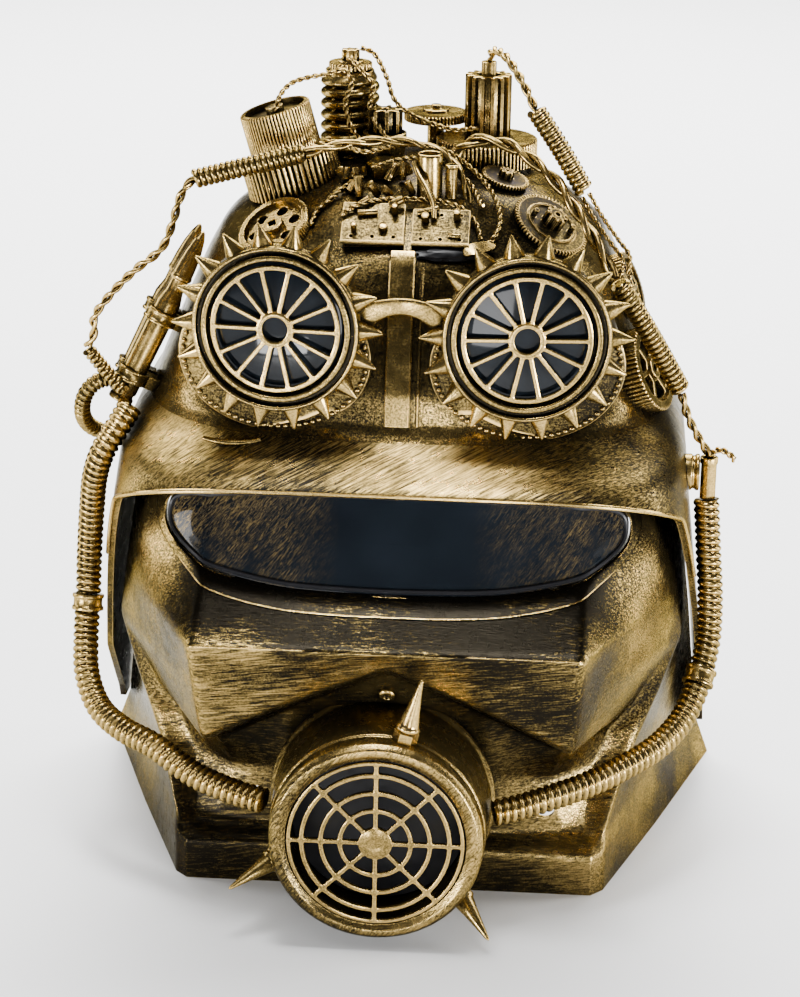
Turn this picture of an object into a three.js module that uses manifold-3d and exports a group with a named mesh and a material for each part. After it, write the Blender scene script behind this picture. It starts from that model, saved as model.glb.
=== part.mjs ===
// Costume mask with a breathing filter, goggles, hoses and clockwork, in millimetres.
// +Z is up and the wearer looks along -Y. The mask stands on the lower rim of its face plate.
import * as THREE from 'three';
import { mergeVertices } from 'three/addons/utils/BufferGeometryUtils.js';
import Module from 'manifold-3d';

const wasm = await Module();
wasm.setup();

// Clearances and walls
const GAP = 0.35;
const SHELL_WALL = 2.5;
const PLATE_WALL = 2.5;
const OVERLAP = 0.3;

// Sides of round pieces
const LARGE_SIDES = 20;
const ROUND_SIDES = 16;
const SMALL_SIDES = 12;
const BAR_SIDES = 8;
const NUT_SIDES = 6;
const SLOT_SIDES = 4;

// Helmet shell
const SHELL_HEIGHT = 274;
const SHELL_HALF_WIDTH = 130;
const SHELL_DEPTH = 116;
const SHELL_SIDES = 32;
const BACK_CUT_LOW = 43;
const BACK_CUT_TOP = 68;

// Level, width and depths are shares of the three sizes above, power is how square the section is.
const SHELL_SECTIONS = [
  { level: -0.018, width: 1.0, front: 0.966, back: 0.819, power: 5.0 },
  { level: 0.241, width: 0.95, front: 0.983, back: 0.828, power: 5.0 },
  { level: 0.547, width: 0.869, front: 1.0, back: 0.836, power: 5.0 },
  { level: 0.617, width: 0.854, front: 0.974, back: 0.828, power: 4.2 },
  { level: 0.65, width: 0.823, front: 0.845, back: 0.81, power: 3.2 },
  { level: 0.679, width: 0.785, front: 0.759, back: 0.793, power: 2.7 },
  { level: 0.734, width: 0.738, front: 0.746, back: 0.776, power: 2.6 },
  { level: 0.858, width: 0.627, front: 0.655, back: 0.69, power: 2.5 },
  { level: 0.905, width: 0.573, front: 0.591, back: 0.638, power: 2.4 },
  { level: 0.967, width: 0.4, front: 0.414, back: 0.474, power: 2.3 },
  { level: 0.985, width: 0.285, front: 0.293, back: 0.345, power: 2.2 },
  { level: 1.0, width: 0.02, front: 0.02, back: 0.02, power: 2.0 },
];

// The lower edge of the hood in side view: shares of the shell's depth and height.
const HOOD_EDGE = [
  { edge: 'before', depth: 1.466, level: 0.723 },
  { edge: 'brow', depth: 0.966, level: 0.617 },
  { edge: 'temple', depth: 0.672, level: 0.555 },
  { edge: 'cheek', depth: 0.172, level: 0.241 },
  { edge: 'jaw', depth: -0.25, level: 0.095 },
  { edge: 'corner', depth: -0.31, level: 0.066 },
  { edge: 'behind', depth: -1.2, level: 0.066 },
];

// Where the dome's top starts and where it closes over, as shares of the shell's height
const DOME_FOOT = 0.68;
const CROWN_FOOT = 0.85;

// Face plate: how far its folds go past the shell's side and front, and how far its top stays under the brow
const PLATE_FLARE = 1;
const PLATE_REACH = 19;
const BROW_CLEARANCE = 3;
const PLATE_HALF_WIDTH = SHELL_HALF_WIDTH + PLATE_FLARE;
const PLATE_DEPTH = SHELL_DEPTH + PLATE_REACH;
const PLATE_HEIGHT = HOOD_EDGE.find(({ edge }) => edge === 'brow').level * SHELL_HEIGHT - BROW_CLEARANCE;

// One row for each fold line, as shares [width, depth, height] of the three sizes above.
const PLATE_COLUMNS = ['centre', 'inner', 'corner', 'cheek', 'bar', 'side', 'back'];
const PLATE_FOLDS = [
  { fold: 'rim', centre: [0, 0.719, 0], inner: [0.321, 0.719, 0], corner: [0.534, 0.719, 0],
    cheek: [0.611, 0.719, 0], bar: [0.649, 0.681, 0], side: [0.817, 0.222, 0], back: [1, -0.319, 0] },
  { fold: 'chin_top', centre: [0, 0.733, 0.108], inner: [0.321, 0.733, 0.108], corner: [0.534, 0.733, 0.108],
    cheek: [0.611, 0.73, 0.108], bar: [0.649, 0.689, 0.108], side: [0.79, 0.222, 0.108],
    back: [0.95, -0.319, 0.108] },
  { fold: 'chin_ledge', centre: [0, 0.681, 0.139], inner: [0.321, 0.681, 0.139],
    corner: [0.519, 0.667, 0.139], cheek: [0.588, 0.659, 0.139], bar: [0.645, 0.674, 0.145],
    side: [0.79, 0.207, 0.145], back: [0.947, -0.319, 0.145] },
  { fold: 'low', centre: [0, 0.726, 0.301], inner: [0.305, 0.704, 0.289], corner: [0.473, 0.644, 0.277],
    cheek: [0.603, 0.57, 0.283], bar: [0.71, 0.548, 0.301], side: [0.832, 0.148, 0.301],
    back: [0.926, -0.319, 0.301] },
  { fold: 'step_low', centre: [0, 0.889, 0.614], inner: [0.29, 0.807, 0.488], corner: [0.511, 0.719, 0.373],
    cheek: [0.656, 0.526, 0.373], bar: [0.756, 0.489, 0.373], side: [0.855, 0.133, 0.386],
    back: [0.915, -0.319, 0.386] },
  { fold: 'step_high', centre: [0, 0.978, 0.657], inner: [0.29, 0.93, 0.539], corner: [0.538, 0.874, 0.422],
    cheek: [0.725, 0.496, 0.434], bar: [0.794, 0.444, 0.434], side: [0.863, 0.119, 0.434],
    back: [0.908, -0.319, 0.434] },
  { fold: 'middle', centre: [0, 0.987, 0.675], inner: [0.298, 0.963, 0.62], corner: [0.55, 0.937, 0.56],
    cheek: [0.832, 0.407, 0.548], bar: [0.861, 0.356, 0.56], side: [0.873, 0.104, 0.56],
    back: [0.887, -0.319, 0.56] },
  { fold: 'ridge', centre: [0, 1, 0.697], inner: [0.298, 1, 0.697], corner: [0.561, 1, 0.697],
    cheek: [0.813, 0.437, 0.687], bar: [0.84, 0.356, 0.693], side: [0.856, 0.089, 0.693],
    back: [0.863, -0.319, 0.693] },
  { fold: 'lens_low', centre: [0, 0.807, 0.777], inner: [0.305, 0.793, 0.786], corner: [0.55, 0.733, 0.804],
    cheek: [0.775, 0.485, 0.813], bar: [0.813, 0.385, 0.819], side: [0.84, 0.089, 0.819],
    back: [0.847, -0.319, 0.819] },
  { fold: 'lens_middle', centre: [0, 0.77, 0.886], inner: [0.305, 0.756, 0.886], corner: [0.55, 0.693, 0.892],
    cheek: [0.76, 0.47, 0.898], bar: [0.798, 0.37, 0.904], side: [0.829, 0.089, 0.904],
    back: [0.835, -0.319, 0.904] },
  { fold: 'lens_top', centre: [0, 0.719, 1], inner: [0.305, 0.704, 1], corner: [0.534, 0.644, 0.994],
    cheek: [0.733, 0.456, 0.97], bar: [0.786, 0.348, 0.964], side: [0.821, 0.089, 0.964],
    back: [0.827, -0.319, 0.964] },
  { fold: 'tuck', centre: [0, 0.674, 1.145], inner: [0.305, 0.659, 1.145], corner: [0.519, 0.593, 1.139],
    cheek: [0.702, 0.43, 1.12], bar: [0.771, 0.333, 1.102], side: [0.813, 0.089, 1.084],
    back: [0.823, -0.319, 1.072] },
];

const foldAt = (name) => PLATE_FOLDS.find(({ fold }) => fold === name);
const CHIN_FRONT = foldAt('chin_top').centre[1] * PLATE_DEPTH;

// Visor lens
const LENS_HALF_WIDTH = 89.5;
const LENS_LEVEL = foldAt('lens_middle').centre[2] * PLATE_HEIGHT;
const LENS_DROP = 18.5;
const LENS_RISE = 18;
const LENS_POWER = 2.6;
const LENS_RIM_WIDTH = 4.5;
const LENS_RIM_PROUD = 1.8;
const LENS_INSET = 1.4;
const LENS_POINTS = 24;

// Chin slots
const CHIN_SLOT = { length: 16, height: 7, across: 57, level: 34, slant: -0.25 };

// Band over the middle of the dome, with its ends below the top of the shell
const BAND = { width: 9.6, thickness: 1.6, lowDrop: 85, topDrop: 24 };

// Filter can on the chin: its reach before the chin, its lip's distance from it and its root behind it
const CAN_REACH = 51;
const CAN_LIP_REACH = 10;
const CAN_ROOT = 13;
const CAN_FRONT = -CHIN_FRONT - CAN_REACH;
const CAN_FRONT_RADIUS = 40;
const CAN_BACK_RADIUS = 43.6;
const CAN_CLEARANCE = 1.4;
const CAN_LIP = 3;
const FILTER_CENTRE = { across: -1.6, level: CAN_BACK_RADIUS + CAN_CLEARANCE };
const CAN_MOUTH_RADIUS = 33.8;
const CAN_EDGE = 2;
const CAN_CAVITY = 24;
const CAN_WALL = 3;
const GRILLE = { bar: 1.7, rim: 1.7, thickness: 2, sink: 0.6, spokes: 8, hub: 6.4, bore: 0 };
const GRILLE_RINGS = [13.3, 20.5, 27.8];
const BACKING_THICKNESS = 2;

// Spikes on the can: angle round the can, depth of the foot, and how far it leans to the front
const SPIKE = { nutRadius: 4.6, nutLength: 6, coneRadius: 4.6, coneLength: 22, shoulder: 1.5, sink: 1 };
const SPIKES = [
  { name: 'filter_spike_top', angle: 76, behindFront: 9, lean: 0 },
  { name: 'filter_spike_left', angle: 203, behindFront: 21, lean: 38 },
  { name: 'filter_spike_right', angle: 318, behindFront: 21, lean: 44 },
];

// Goggles
const GOGGLE_RING = { radius: 31.5, mouth: 26, seat: 24, depth: 14, shoulder: 8, neck: 29.5, lensSeat: 6,
  bevel: 1 };
const GOGGLE_CONES = { count: 18, radius: 3.2, length: 8, root: 1, sides: 4, level: 4, phase: 0.5 };
const GOGGLE_LENS = { thickness: 2.4, crown: 0.8 };
const GOGGLE_WHEEL = { bar: 1.5, rim: 2.2, thickness: 1.6, sink: 0.6, spokes: 14, hub: 6.5, bore: 4 };
const GOGGLE_BASE = { halfWidth: 37, halfHeight: 29.5, plate: 3, wall: 3, reach: 45, hole: 22 };
// Each goggle's place across, its drop from the top of the shell and its stand before the dome at that height
const GOGGLES = [
  { side: 'left', across: -45, drop: 45.6, stand: 21.4, turn: -5, baseAcross: -3, baseDown: 14.5 },
  { side: 'right', across: 48.2, drop: 46.7, stand: 20.6, turn: 5, baseAcross: 1.5, baseDown: 14.5 },
];
const BRIDGE = { radius: 2.1, arch: 5, bow: 2, drop: 5.5, depth: 5, steps: 10, gap: 0.4 };

// Cartridges on the left side
const CARTRIDGE = { radius: 5, body: 44, shoulder: 5, neck: 3.6, neckLength: 6, tip: 4.2, tipLength: 20 };
const CARTRIDGE_FOOT = { depth: -41.5, drop: 98, stand: 2.6 };
const CARTRIDGE_TIP = { depth: -30, drop: 36, stand: 2.6 };
const CARTRIDGE_SPACE = 1.4;
const TIP_SHOULDER = 0.75;
const BAND_RING = { wall: 1.9, height: 5, lugWidth: 9, lugReach: 14, lugRoot: 1.5 };
const BAND_PLACES = [
  { name: 'cartridge_band_upper', along: 35 },
  { name: 'cartridge_band_lower', along: 9 },
];

// Hoses, coils and wires
const HOSE_RADIUS = 5.2;
const LOOP_RADIUS = 3.4;
const WIRE_RADIUS = 1.35;
const JOINT_WALL = 1.2;
const HOSE_SIDES = 8;
const WIRE_SIDES = 5;

// Routes, from where each one starts to where it ends, laid out over a shell of these sizes
const LAID_OVER = { halfWidth: 130, depth: 116, height: 274 };
const ROUTES = {
  hose_left_upper: [[-106.5, -56, 182], [-110.5, -62, 175.5], [-115.6, -64.5, 167], [-119.4, -62, 156],
    [-121.6, -58, 142], [-123, -56, 128], [-123.8, -56, 114], [-123.8, -58.6, 104.4]],
  hose_left_lower: [[-124, -60.4, 97.8], [-124.3, -63.2, 88], [-122.5, -73, 76], [-116, -84, 66.5],
    [-105, -95, 62.5], [-92, -104, 60.5], [-73, -115.5, 53.5], [-56, -123, 50.5], [-46, -126.6, 49.6]],
  hose_left_loop: [[-121, -41.5, 186.5], [-126, -42.5, 182.5], [-128, -39.5, 174], [-126, -33, 166],
    [-119, -27, 161], [-107, -22, 157]],
  hose_right_upper: [[119.6, -44.5, 149], [120.6, -46, 138], [121.6, -48, 126], [122.9, -51, 112],
    [123, -55, 96], [121.7, -59.3, 88], [120.7, -61.9, 84.2]],
  hose_right_lower: [[119, -66, 78.8], [117.8, -68.9, 75.6], [112.8, -77.5, 68.2], [104, -89, 62.4],
    [90, -102, 58.3], [76.4, -112, 55.2], [62.8, -120, 53.1], [50, -125.4, 50.6], [42, -127.8, 49.4]],
  wire_left: [[-81.8, -52.5, 272.2], [-86, -55, 266], [-88.5, -56, 257], [-93, -56, 246.5],
    [-103.4, -56, 237.5], [-114, -54, 226.2], [-120.4, -52, 216.6], [-121, -49.4, 209.6], [-124, -47, 203.6]],
  wire_centre: [[-39.8, -43.3, 282.1], [-27, -38, 284.5], [-12, -33, 285.5], [2, -31.5, 284.5],
    [14, -33, 280], [21, -38, 272], [24, -42, 262]],
  wire_right_thick: [[14, -20, 268], [17, -21, 279], [24, -22, 284], [34, -24, 284.4], [44, -30, 281],
    [55, -38, 274], [64, -46, 264.5], [73, -53, 252], [79.6, -57, 240.8]],
  wire_right_thin: [[67.6, -40.6, 268.6], [72, -44, 262], [79, -49.5, 253.5], [83.8, -54, 248],
    [83.4, -57, 242]],
  wire_right_end: [[107.6, -49.8, 193.6], [110.5, -48, 184], [115.6, -45.5, 174], [119.7, -44.3, 167.4]],
  wire_pinion: [[28.5, 7.2, 310.4], [29.2, 3.6, 314.2], [34.5, -9, 315], [41, -20, 308.6],
    [47.2, -29.8, 299]],
};
const HOSES = [
  { name: 'hose_left_upper', radius: HOSE_RADIUS, sides: HOSE_SIDES, steps: 10, seated: false },
  { name: 'hose_left_lower', radius: HOSE_RADIUS, sides: HOSE_SIDES, steps: 16, seated: false },
  { name: 'hose_left_loop', radius: LOOP_RADIUS, sides: HOSE_SIDES, steps: 10, seated: true },
  { name: 'hose_right_upper', radius: HOSE_RADIUS, sides: HOSE_SIDES, steps: 9, seated: false },
  { name: 'hose_right_lower', radius: HOSE_RADIUS, sides: HOSE_SIDES, steps: 14, seated: false },
  { name: 'wire_left', radius: WIRE_RADIUS, sides: WIRE_SIDES, steps: 14, seated: false },
  { name: 'wire_centre', radius: 2.2, sides: WIRE_SIDES, steps: 12, seated: true },
  { name: 'wire_right_thick', radius: 1.9, sides: WIRE_SIDES, steps: 14, seated: true },
  { name: 'wire_right_thin', radius: 1.6, sides: WIRE_SIDES, steps: 7, seated: false },
  { name: 'wire_right_end', radius: WIRE_RADIUS, sides: WIRE_SIDES, steps: 6, seated: false },
  { name: 'wire_pinion', radius: WIRE_RADIUS, sides: WIRE_SIDES, steps: 8, seated: false },
];
const COILS = [
  { name: 'coil_left_top', radius: 3.4, from: [-80.6, -51.4, 272.8], to: [-40.4, -43.4, 282] },
  { name: 'coil_left_small', radius: 2.9, from: [-123.4, -46.6, 201.6], to: [-118.2, -45.4, 192.6] },
  { name: 'coil_right_upper', radius: 3.7, from: [47.5, -30, 298.4], to: [67, -40, 270.4] },
  { name: 'coil_right_lower', radius: 4.1, from: [81.6, -57.4, 239], to: [107.2, -50.2, 195.4] },
];

// Boss on the shell's side at the top of the right hose, and the wire tube beside its end
const BOSS = { radius: 7.2, root: 13.5, stand: 4.7, depth: -47, drop: 113 };
const WIRE_TUBE = { radius: 3.1, below: 11.4, above: 5.6, depth: -44.4 };

// Clockwork on the dome. Across and depth give the place, tilt leans the axis to the side.
const PULLEY = { across: -46.4, depth: -16, leanSide: -0.28, leanFront: -0.04, gearRadius: 19,
  gearHeight: 9.5, drumRadius: 14, drumHeight: 19, sink: 4, rim: 2, bevel: 1, recess: 2.4, hub: 3,
  hubRise: 1 };
const WORM = { across: -26.5, depth: 6, rootRadius: 9.4, threadRadius: 11.6, threads: 8, height: 36,
  discRadius: 8.4, discHeight: 2.6, pinionRadius: 3.4, pinionHeight: 5, pinionTeeth: 7, sink: 2 };
const CUP = { across: -11.5, depth: -9, radius: 8.6, height: 13.5, taper: 1.5, brim: 0.6,
  pinionRadius: 6.8, pinionHeight: 9, pinionTeeth: 9, sink: 2 };
const BOLT = { across: -10.5, depth: -23.5, radius: 6.6, height: 5, sink: 3 };
const DISC_MIDDLE = { across: 7, depth: 18, radius: 12.8, thickness: 3.6, post: 3.4, postHeight: 11,
  sink: 2 };
const DISC_RIGHT = { across: 28, depth: 7.5, radius: 20, thickness: 8.2, sink: 1.8 };
const PINION_TALL = { radius: 9, height: 25, teeth: 14, hub: 3, hubHeight: 5 };
const CANISTER = { across: 8, depth: -39.5, radius: 4.9, height: 17, wall: 1.2, recess: 3, sink: 2 };
const FLAT_GEARS = [
  { name: 'gear_small', across: 36, depth: -21, radius: 8.6, thickness: 3, teeth: 12, bore: 2.2, holes: 0 },
  { name: 'gear_left', across: -50, behindGoggle: 51.86, radius: 14.4, thickness: 3, teeth: 20, bore: 3,
    holes: 6 },
  { name: 'gear_right', across: 54, behindGoggle: 60.3, radius: 15, thickness: 3, teeth: 20, bore: 4,
    holes: 0 },
];
const FLAT_GEAR_SINK = 2.2;
const TEMPLE_GEARS = [
  { name: 'gear_temple_upper', depth: -22, drop: 46, radius: 13, thickness: 5 },
  { name: 'gear_temple_lower', depth: -39.7, drop: 75, radius: 17, thickness: 6 },
];
const TEMPLE_SINK = 2.2;
// Depth is a share of the shell's depth, because the plates lie above the band's end
const STRAP_PLATES = [
  { name: 'plate_left', across: -12, depth: -0.4914, width: 24, length: 19, thickness: 7 },
  { name: 'plate_right', across: 13.6, depth: -0.4948, width: 22, length: 17, thickness: 6 },
];

const GOLD = 0x9c7a3c;
const BRIGHT_GOLD = 0xc39a4e;
const DARK = 0x2a2118;
const BLACK = 0x08090b;

const v3 = (values) => new THREE.Vector3(values[0], values[1], values[2]);
const TURN = Math.PI * 2;
const radians = (degrees) => THREE.MathUtils.degToRad(degrees);

// Gear teeth, bore and holes: depth of a tooth, and where and how large the holes are as shares of the radius
const TOOTH_DEPTH = 1.6;
const TOOTH_SHARE = 0.1;
const HOLE_PLACE = 0.58;
const HOLE_SHARE = 0.16;
const BORE_SIDES = 8;
const HOLE_SIDES = 6;

// A closed geometry as a solid, with its faces turned outwards
function solidOf(geometry) {
  const bare = new THREE.BufferGeometry();
  bare.setAttribute('position', geometry.getAttribute('position').clone());
  if (geometry.index) {
    bare.setIndex(geometry.index.clone());
  }
  const merged = mergeVertices(bare, 1e-4);
  const points = merged.getAttribute('position').array;
  const index = Array.from(merged.index.array);
  const triangles = [];
  for (let i = 0; i < index.length; i += 3) {
    const [a, b, c] = index.slice(i, i + 3);
    if (a !== b && b !== c && a !== c) {
      triangles.push([a, b, c]);
    }
  }
  const corner = (k) => new THREE.Vector3(points[3 * k], points[3 * k + 1], points[3 * k + 2]);
  const volume = triangles.reduce((sum, [a, b, c]) => sum + corner(a).dot(corner(b).cross(corner(c))), 0);
  const faces = volume < 0 ? triangles.map(([a, b, c]) => [a, c, b]) : triangles;
  return new wasm.Manifold(new wasm.Mesh({
    numProp: 3,
    vertProperties: Float32Array.from(points),
    triVerts: Uint32Array.from(faces.flat()),
  }));
}

// A solid back to a geometry
function geometryOf(solid) {
  const mesh = solid.getMesh();
  const geometry = new THREE.BufferGeometry();
  geometry.setAttribute('position', new THREE.BufferAttribute(Float32Array.from(mesh.vertProperties), 3));
  geometry.setIndex(Array.from(mesh.triVerts));
  geometry.computeVertexNormals();
  return geometry;
}

const joined = (...geometries) => geometries.map(solidOf).reduce((all, next) => all.add(next));

// Closed body through rings of points, each ring a closed loop of the same length
function loft(rings) {
  const positions = [];
  const index = [];
  const size = rings[0].length;
  rings.forEach((ring) => ring.forEach((p) => positions.push(p.x, p.y, p.z)));
  for (let r = 0; r < rings.length - 1; r += 1) {
    for (let k = 0; k < size; k += 1) {
      const next = (k + 1) % size;
      const a = r * size + k;
      const b = r * size + next;
      index.push(a, b, b + size, a, b + size, a + size);
    }
  }
  [0, rings.length - 1].forEach((r, end) => {
    const centre = positions.length / 3;
    const middle = rings[r].reduce((sum, p) => sum.add(p), new THREE.Vector3()).divideScalar(size);
    positions.push(middle.x, middle.y, middle.z);
    for (let k = 0; k < size; k += 1) {
      const a = r * size + k;
      const b = r * size + ((k + 1) % size);
      index.push(...(end === 0 ? [b, a, centre] : [a, b, centre]));
    }
  });
  const geometry = new THREE.BufferGeometry();
  geometry.setAttribute('position', new THREE.Float32BufferAttribute(positions, 3));
  geometry.setIndex(index);
  return geometry;
}

// Closed body between a front sheet and a back sheet of points in rows and columns
function thickSheet(front, back) {
  const rows = front.length;
  const columns = front[0].length;
  const positions = [];
  [front, back].forEach((sheet) => sheet.flat().forEach((p) => positions.push(p.x, p.y, p.z)));
  const at = (layer, r, c) => layer * rows * columns + r * columns + c;
  const index = [];
  const quad = (a, b, c, d) => index.push(a, b, c, a, c, d);
  for (let r = 0; r < rows - 1; r += 1) {
    for (let c = 0; c < columns - 1; c += 1) {
      quad(at(0, r, c), at(0, r, c + 1), at(0, r + 1, c + 1), at(0, r + 1, c));
      quad(at(1, r, c), at(1, r + 1, c), at(1, r + 1, c + 1), at(1, r, c + 1));
    }
  }
  for (let c = 0; c < columns - 1; c += 1) {
    quad(at(0, 0, c), at(1, 0, c), at(1, 0, c + 1), at(0, 0, c + 1));
    quad(at(0, rows - 1, c), at(0, rows - 1, c + 1), at(1, rows - 1, c + 1), at(1, rows - 1, c));
  }
  for (let r = 0; r < rows - 1; r += 1) {
    quad(at(0, r, 0), at(0, r + 1, 0), at(1, r + 1, 0), at(1, r, 0));
    quad(at(0, r, columns - 1), at(1, r, columns - 1), at(1, r + 1, columns - 1), at(0, r + 1, columns - 1));
  }
  const geometry = new THREE.BufferGeometry();
  geometry.setAttribute('position', new THREE.Float32BufferAttribute(positions, 3));
  geometry.setIndex(index);
  return geometry;
}

// Solid of revolution about +Z from a list of [radius, height]
function turned(profile, sides = ROUND_SIDES) {
  const points = profile.map(([radius, height]) => new THREE.Vector2(radius, height));
  return new THREE.LatheGeometry(points, sides).rotateX(Math.PI / 2);
}

// Radius of what fits in a faceted bore with the clearance round it
const insideBore = (radius, sides) => radius * Math.cos(Math.PI / sides) - GAP;

// Straight bar between two points
function bar(from, to, radius, sides) {
  const start = v3(from);
  const run = v3(to).sub(start);
  const geometry = new THREE.CylinderGeometry(radius, radius, run.length(), sides);
  const turn = new THREE.Quaternion().setFromUnitVectors(new THREE.Vector3(0, 1, 0), run.clone().normalize());
  return geometry.applyQuaternion(turn).translate(...start.addScaledVector(run, 0.5).toArray());
}

// Round tube along a route of points
function tube(route, radius, sides, steps) {
  const section = new THREE.Shape();
  for (let k = 0; k < sides; k += 1) {
    const angle = (TURN * k) / sides;
    const point = [radius * Math.cos(angle), radius * Math.sin(angle)];
    if (k === 0) {
      section.moveTo(...point);
    } else {
      section.lineTo(...point);
    }
  }
  const path = new THREE.CatmullRomCurve3(route.map(v3), false, 'centripetal');
  return new THREE.ExtrudeGeometry(section, { steps, extrudePath: path, bevelEnabled: false });
}

// Outline of a gear with pointed teeth, and round holes in it
function gearOutline(radius, teeth, bore, holes = 0) {
  const root = radius - Math.min(TOOTH_DEPTH, radius * TOOTH_SHARE);
  const outline = new THREE.Shape();
  for (let k = 0; k < 2 * teeth; k += 1) {
    const reach = k % 2 === 0 ? radius : root;
    const angle = (TURN * k) / (2 * teeth);
    const point = [reach * Math.cos(angle), reach * Math.sin(angle)];
    if (k === 0) {
      outline.moveTo(...point);
    } else {
      outline.lineTo(...point);
    }
  }
  const holeAt = (x, y, size, sides) => {
    const hole = new THREE.Path();
    for (let k = 0; k < sides; k += 1) {
      const angle = (-TURN * k) / sides;
      const point = [x + size * Math.cos(angle), y + size * Math.sin(angle)];
      if (k === 0) {
        hole.moveTo(...point);
      } else {
        hole.lineTo(...point);
      }
    }
    outline.holes.push(hole);
  };
  if (bore > 0) {
    holeAt(0, 0, bore, BORE_SIDES);
  }
  for (let k = 0; k < holes; k += 1) {
    const angle = (TURN * k) / holes;
    const place = HOLE_PLACE * radius;
    holeAt(place * Math.cos(angle), place * Math.sin(angle), HOLE_SHARE * radius, HOLE_SIDES);
  }
  return outline;
}

function gear(radius, thickness, teeth, bore, holes = 0) {
  return new THREE.ExtrudeGeometry(gearOutline(radius, teeth, bore, holes), {
    depth: thickness, bevelEnabled: false, steps: 1,
  });
}

// A disc cut into spokes and rings round a hub, with its top sunk below zero
function spokedDisc(outer, { bar: width, rim, thickness, sink, spokes, hub, bore }, rings = []) {
  const outline = new THREE.Shape();
  for (let k = 0; k < 2 * spokes; k += 1) {
    const angle = (TURN * k) / (2 * spokes);
    const point = [outer * Math.cos(angle), outer * Math.sin(angle)];
    if (k === 0) {
      outline.moveTo(...point);
    } else {
      outline.lineTo(...point);
    }
  }
  const insides = [hub, ...rings.map((radius) => radius + width / 2)];
  const outsides = [...rings.map((radius) => radius - width / 2), outer - rim];
  for (let k = 0; k < spokes; k += 1) {
    const start = (TURN * k) / spokes;
    const place = (radius, side) => {
      const angle = start + (side > 0 ? TURN / spokes : 0) - (side * width) / 2 / radius;
      return [radius * Math.cos(angle), radius * Math.sin(angle)];
    };
    insides.forEach((inner, i) => {
      const hole = new THREE.Path();
      hole.moveTo(...place(inner, -1));
      hole.lineTo(...place(inner, 1));
      hole.lineTo(...place(outsides[i], 1));
      hole.lineTo(...place(outsides[i], -1));
      outline.holes.push(hole);
    });
  }
  if (bore > 0) {
    outline.holes.push(new THREE.Path().absarc(0, 0, bore, 0, TURN, true));
  }
  const settings = { depth: thickness, bevelEnabled: false, steps: 1, curveSegments: BORE_SIDES };
  return new THREE.ExtrudeGeometry(outline, settings).translate(0, 0, -sink - thickness);
}

// Frame whose +Z looks outwards and whose +Y is the given upward direction
function frameAt(origin, outward, upward) {
  const z = outward.clone().normalize();
  const x = upward.clone().cross(z).normalize();
  const y = z.clone().cross(x);
  return new THREE.Matrix4().makeBasis(x, y, z).setPosition(origin);
}

const moved = (solid, matrix) => solid.transform(matrix.elements);

const UP = new THREE.Vector3(0, 0, 1);
const model = new THREE.Group();

function finish(colour, roughness = 0.45, metalness = 0.85) {
  return new THREE.MeshStandardMaterial({ color: colour, roughness, metalness });
}

function addPiece(name, geometry, colour, matrix = new THREE.Matrix4()) {
  const mesh = new THREE.Mesh(geometry, finish(colour));
  mesh.name = name;
  mesh.applyMatrix4(matrix);
  model.add(mesh);
  return mesh;
}

// A piece made in its own frame, cut to the surface that it sits on, and placed
function addSeated(name, geometry, matrix, colour, cutter) {
  const solid = moved(solidOf(geometry), matrix).subtract(cutter);
  addPiece(name, geometryOf(moved(solid, matrix.clone().invert())), colour, matrix);
}

// The shell's section at a height, between two rows of the table
function shellSection(level) {
  const share = level / SHELL_HEIGHT;
  const rows = SHELL_SECTIONS;
  const last = rows.length - 2;
  const row = Math.max(0, Math.min(last, rows.findIndex((section) => section.level > share) - 1));
  const [low, high] = [rows[row], rows[row + 1]];
  const t = (share - low.level) / (high.level - low.level);
  const mix = (key) => low[key] + t * (high[key] - low[key]);
  return {
    width: mix('width') * SHELL_HALF_WIDTH,
    front: mix('front') * SHELL_DEPTH,
    back: mix('back') * SHELL_DEPTH,
    power: mix('power'),
  };
}

// Below zero inside the shell's outer surface
function shellSide(x, y, z) {
  if (z >= SHELL_HEIGHT) {
    return 1;
  }
  const { width, front, back, power } = shellSection(z);
  return (Math.abs(x) / width) ** power + (Math.abs(y) / (y < 0 ? front : back)) ** power - 1;
}

function shellNormal(point) {
  const step = GAP;
  const slope = ['x', 'y', 'z'].map((axis) => {
    const ahead = point.clone();
    const behind = point.clone();
    ahead[axis] += step;
    behind[axis] -= step;
    return shellSide(ahead.x, ahead.y, ahead.z) - shellSide(behind.x, behind.y, behind.z);
  });
  return v3(slope).normalize();
}

function halve(inside, outside, test) {
  let [low, high] = [inside, outside];
  for (let k = 0; k < 40; k += 1) {
    const middle = (low + high) / 2;
    if (test(middle)) {
      low = middle;
    } else {
      high = middle;
    }
  }
  return low;
}

// Point on top of the dome over a place, and point on its side at a depth and height
function domeTop(x, y) {
  const level = halve(SHELL_HEIGHT * DOME_FOOT, SHELL_HEIGHT, (z) => shellSide(x, y, z) < 0);
  return new THREE.Vector3(x, y, level);
}

function domeSide(y, z, side) {
  return new THREE.Vector3(side * halve(0, SHELL_HALF_WIDTH, (x) => shellSide(x, y, z) < 0), y, z);
}

function shellRing(section, grow) {
  const ring = [];
  for (let k = 0; k < SHELL_SIDES; k += 1) {
    const angle = (TURN * k) / SHELL_SIDES;
    const [c, s] = [Math.cos(angle), Math.sin(angle)];
    const depth = (s < 0 ? section.front : section.back) * SHELL_DEPTH + grow;
    const width = section.width * SHELL_HALF_WIDTH + grow;
    const least = SHELL_WALL / 5;
    const reach = 2 / section.power;
    ring.push(new THREE.Vector3(
      Math.max(width, least) * Math.sign(c) * Math.abs(c) ** reach,
      Math.max(depth, least) * Math.sign(s) * Math.abs(s) ** reach,
      section.level * SHELL_HEIGHT + grow * Math.max(0, (section.level - CROWN_FOOT) / (1 - CROWN_FOOT)),
    ));
  }
  return ring;
}

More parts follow.
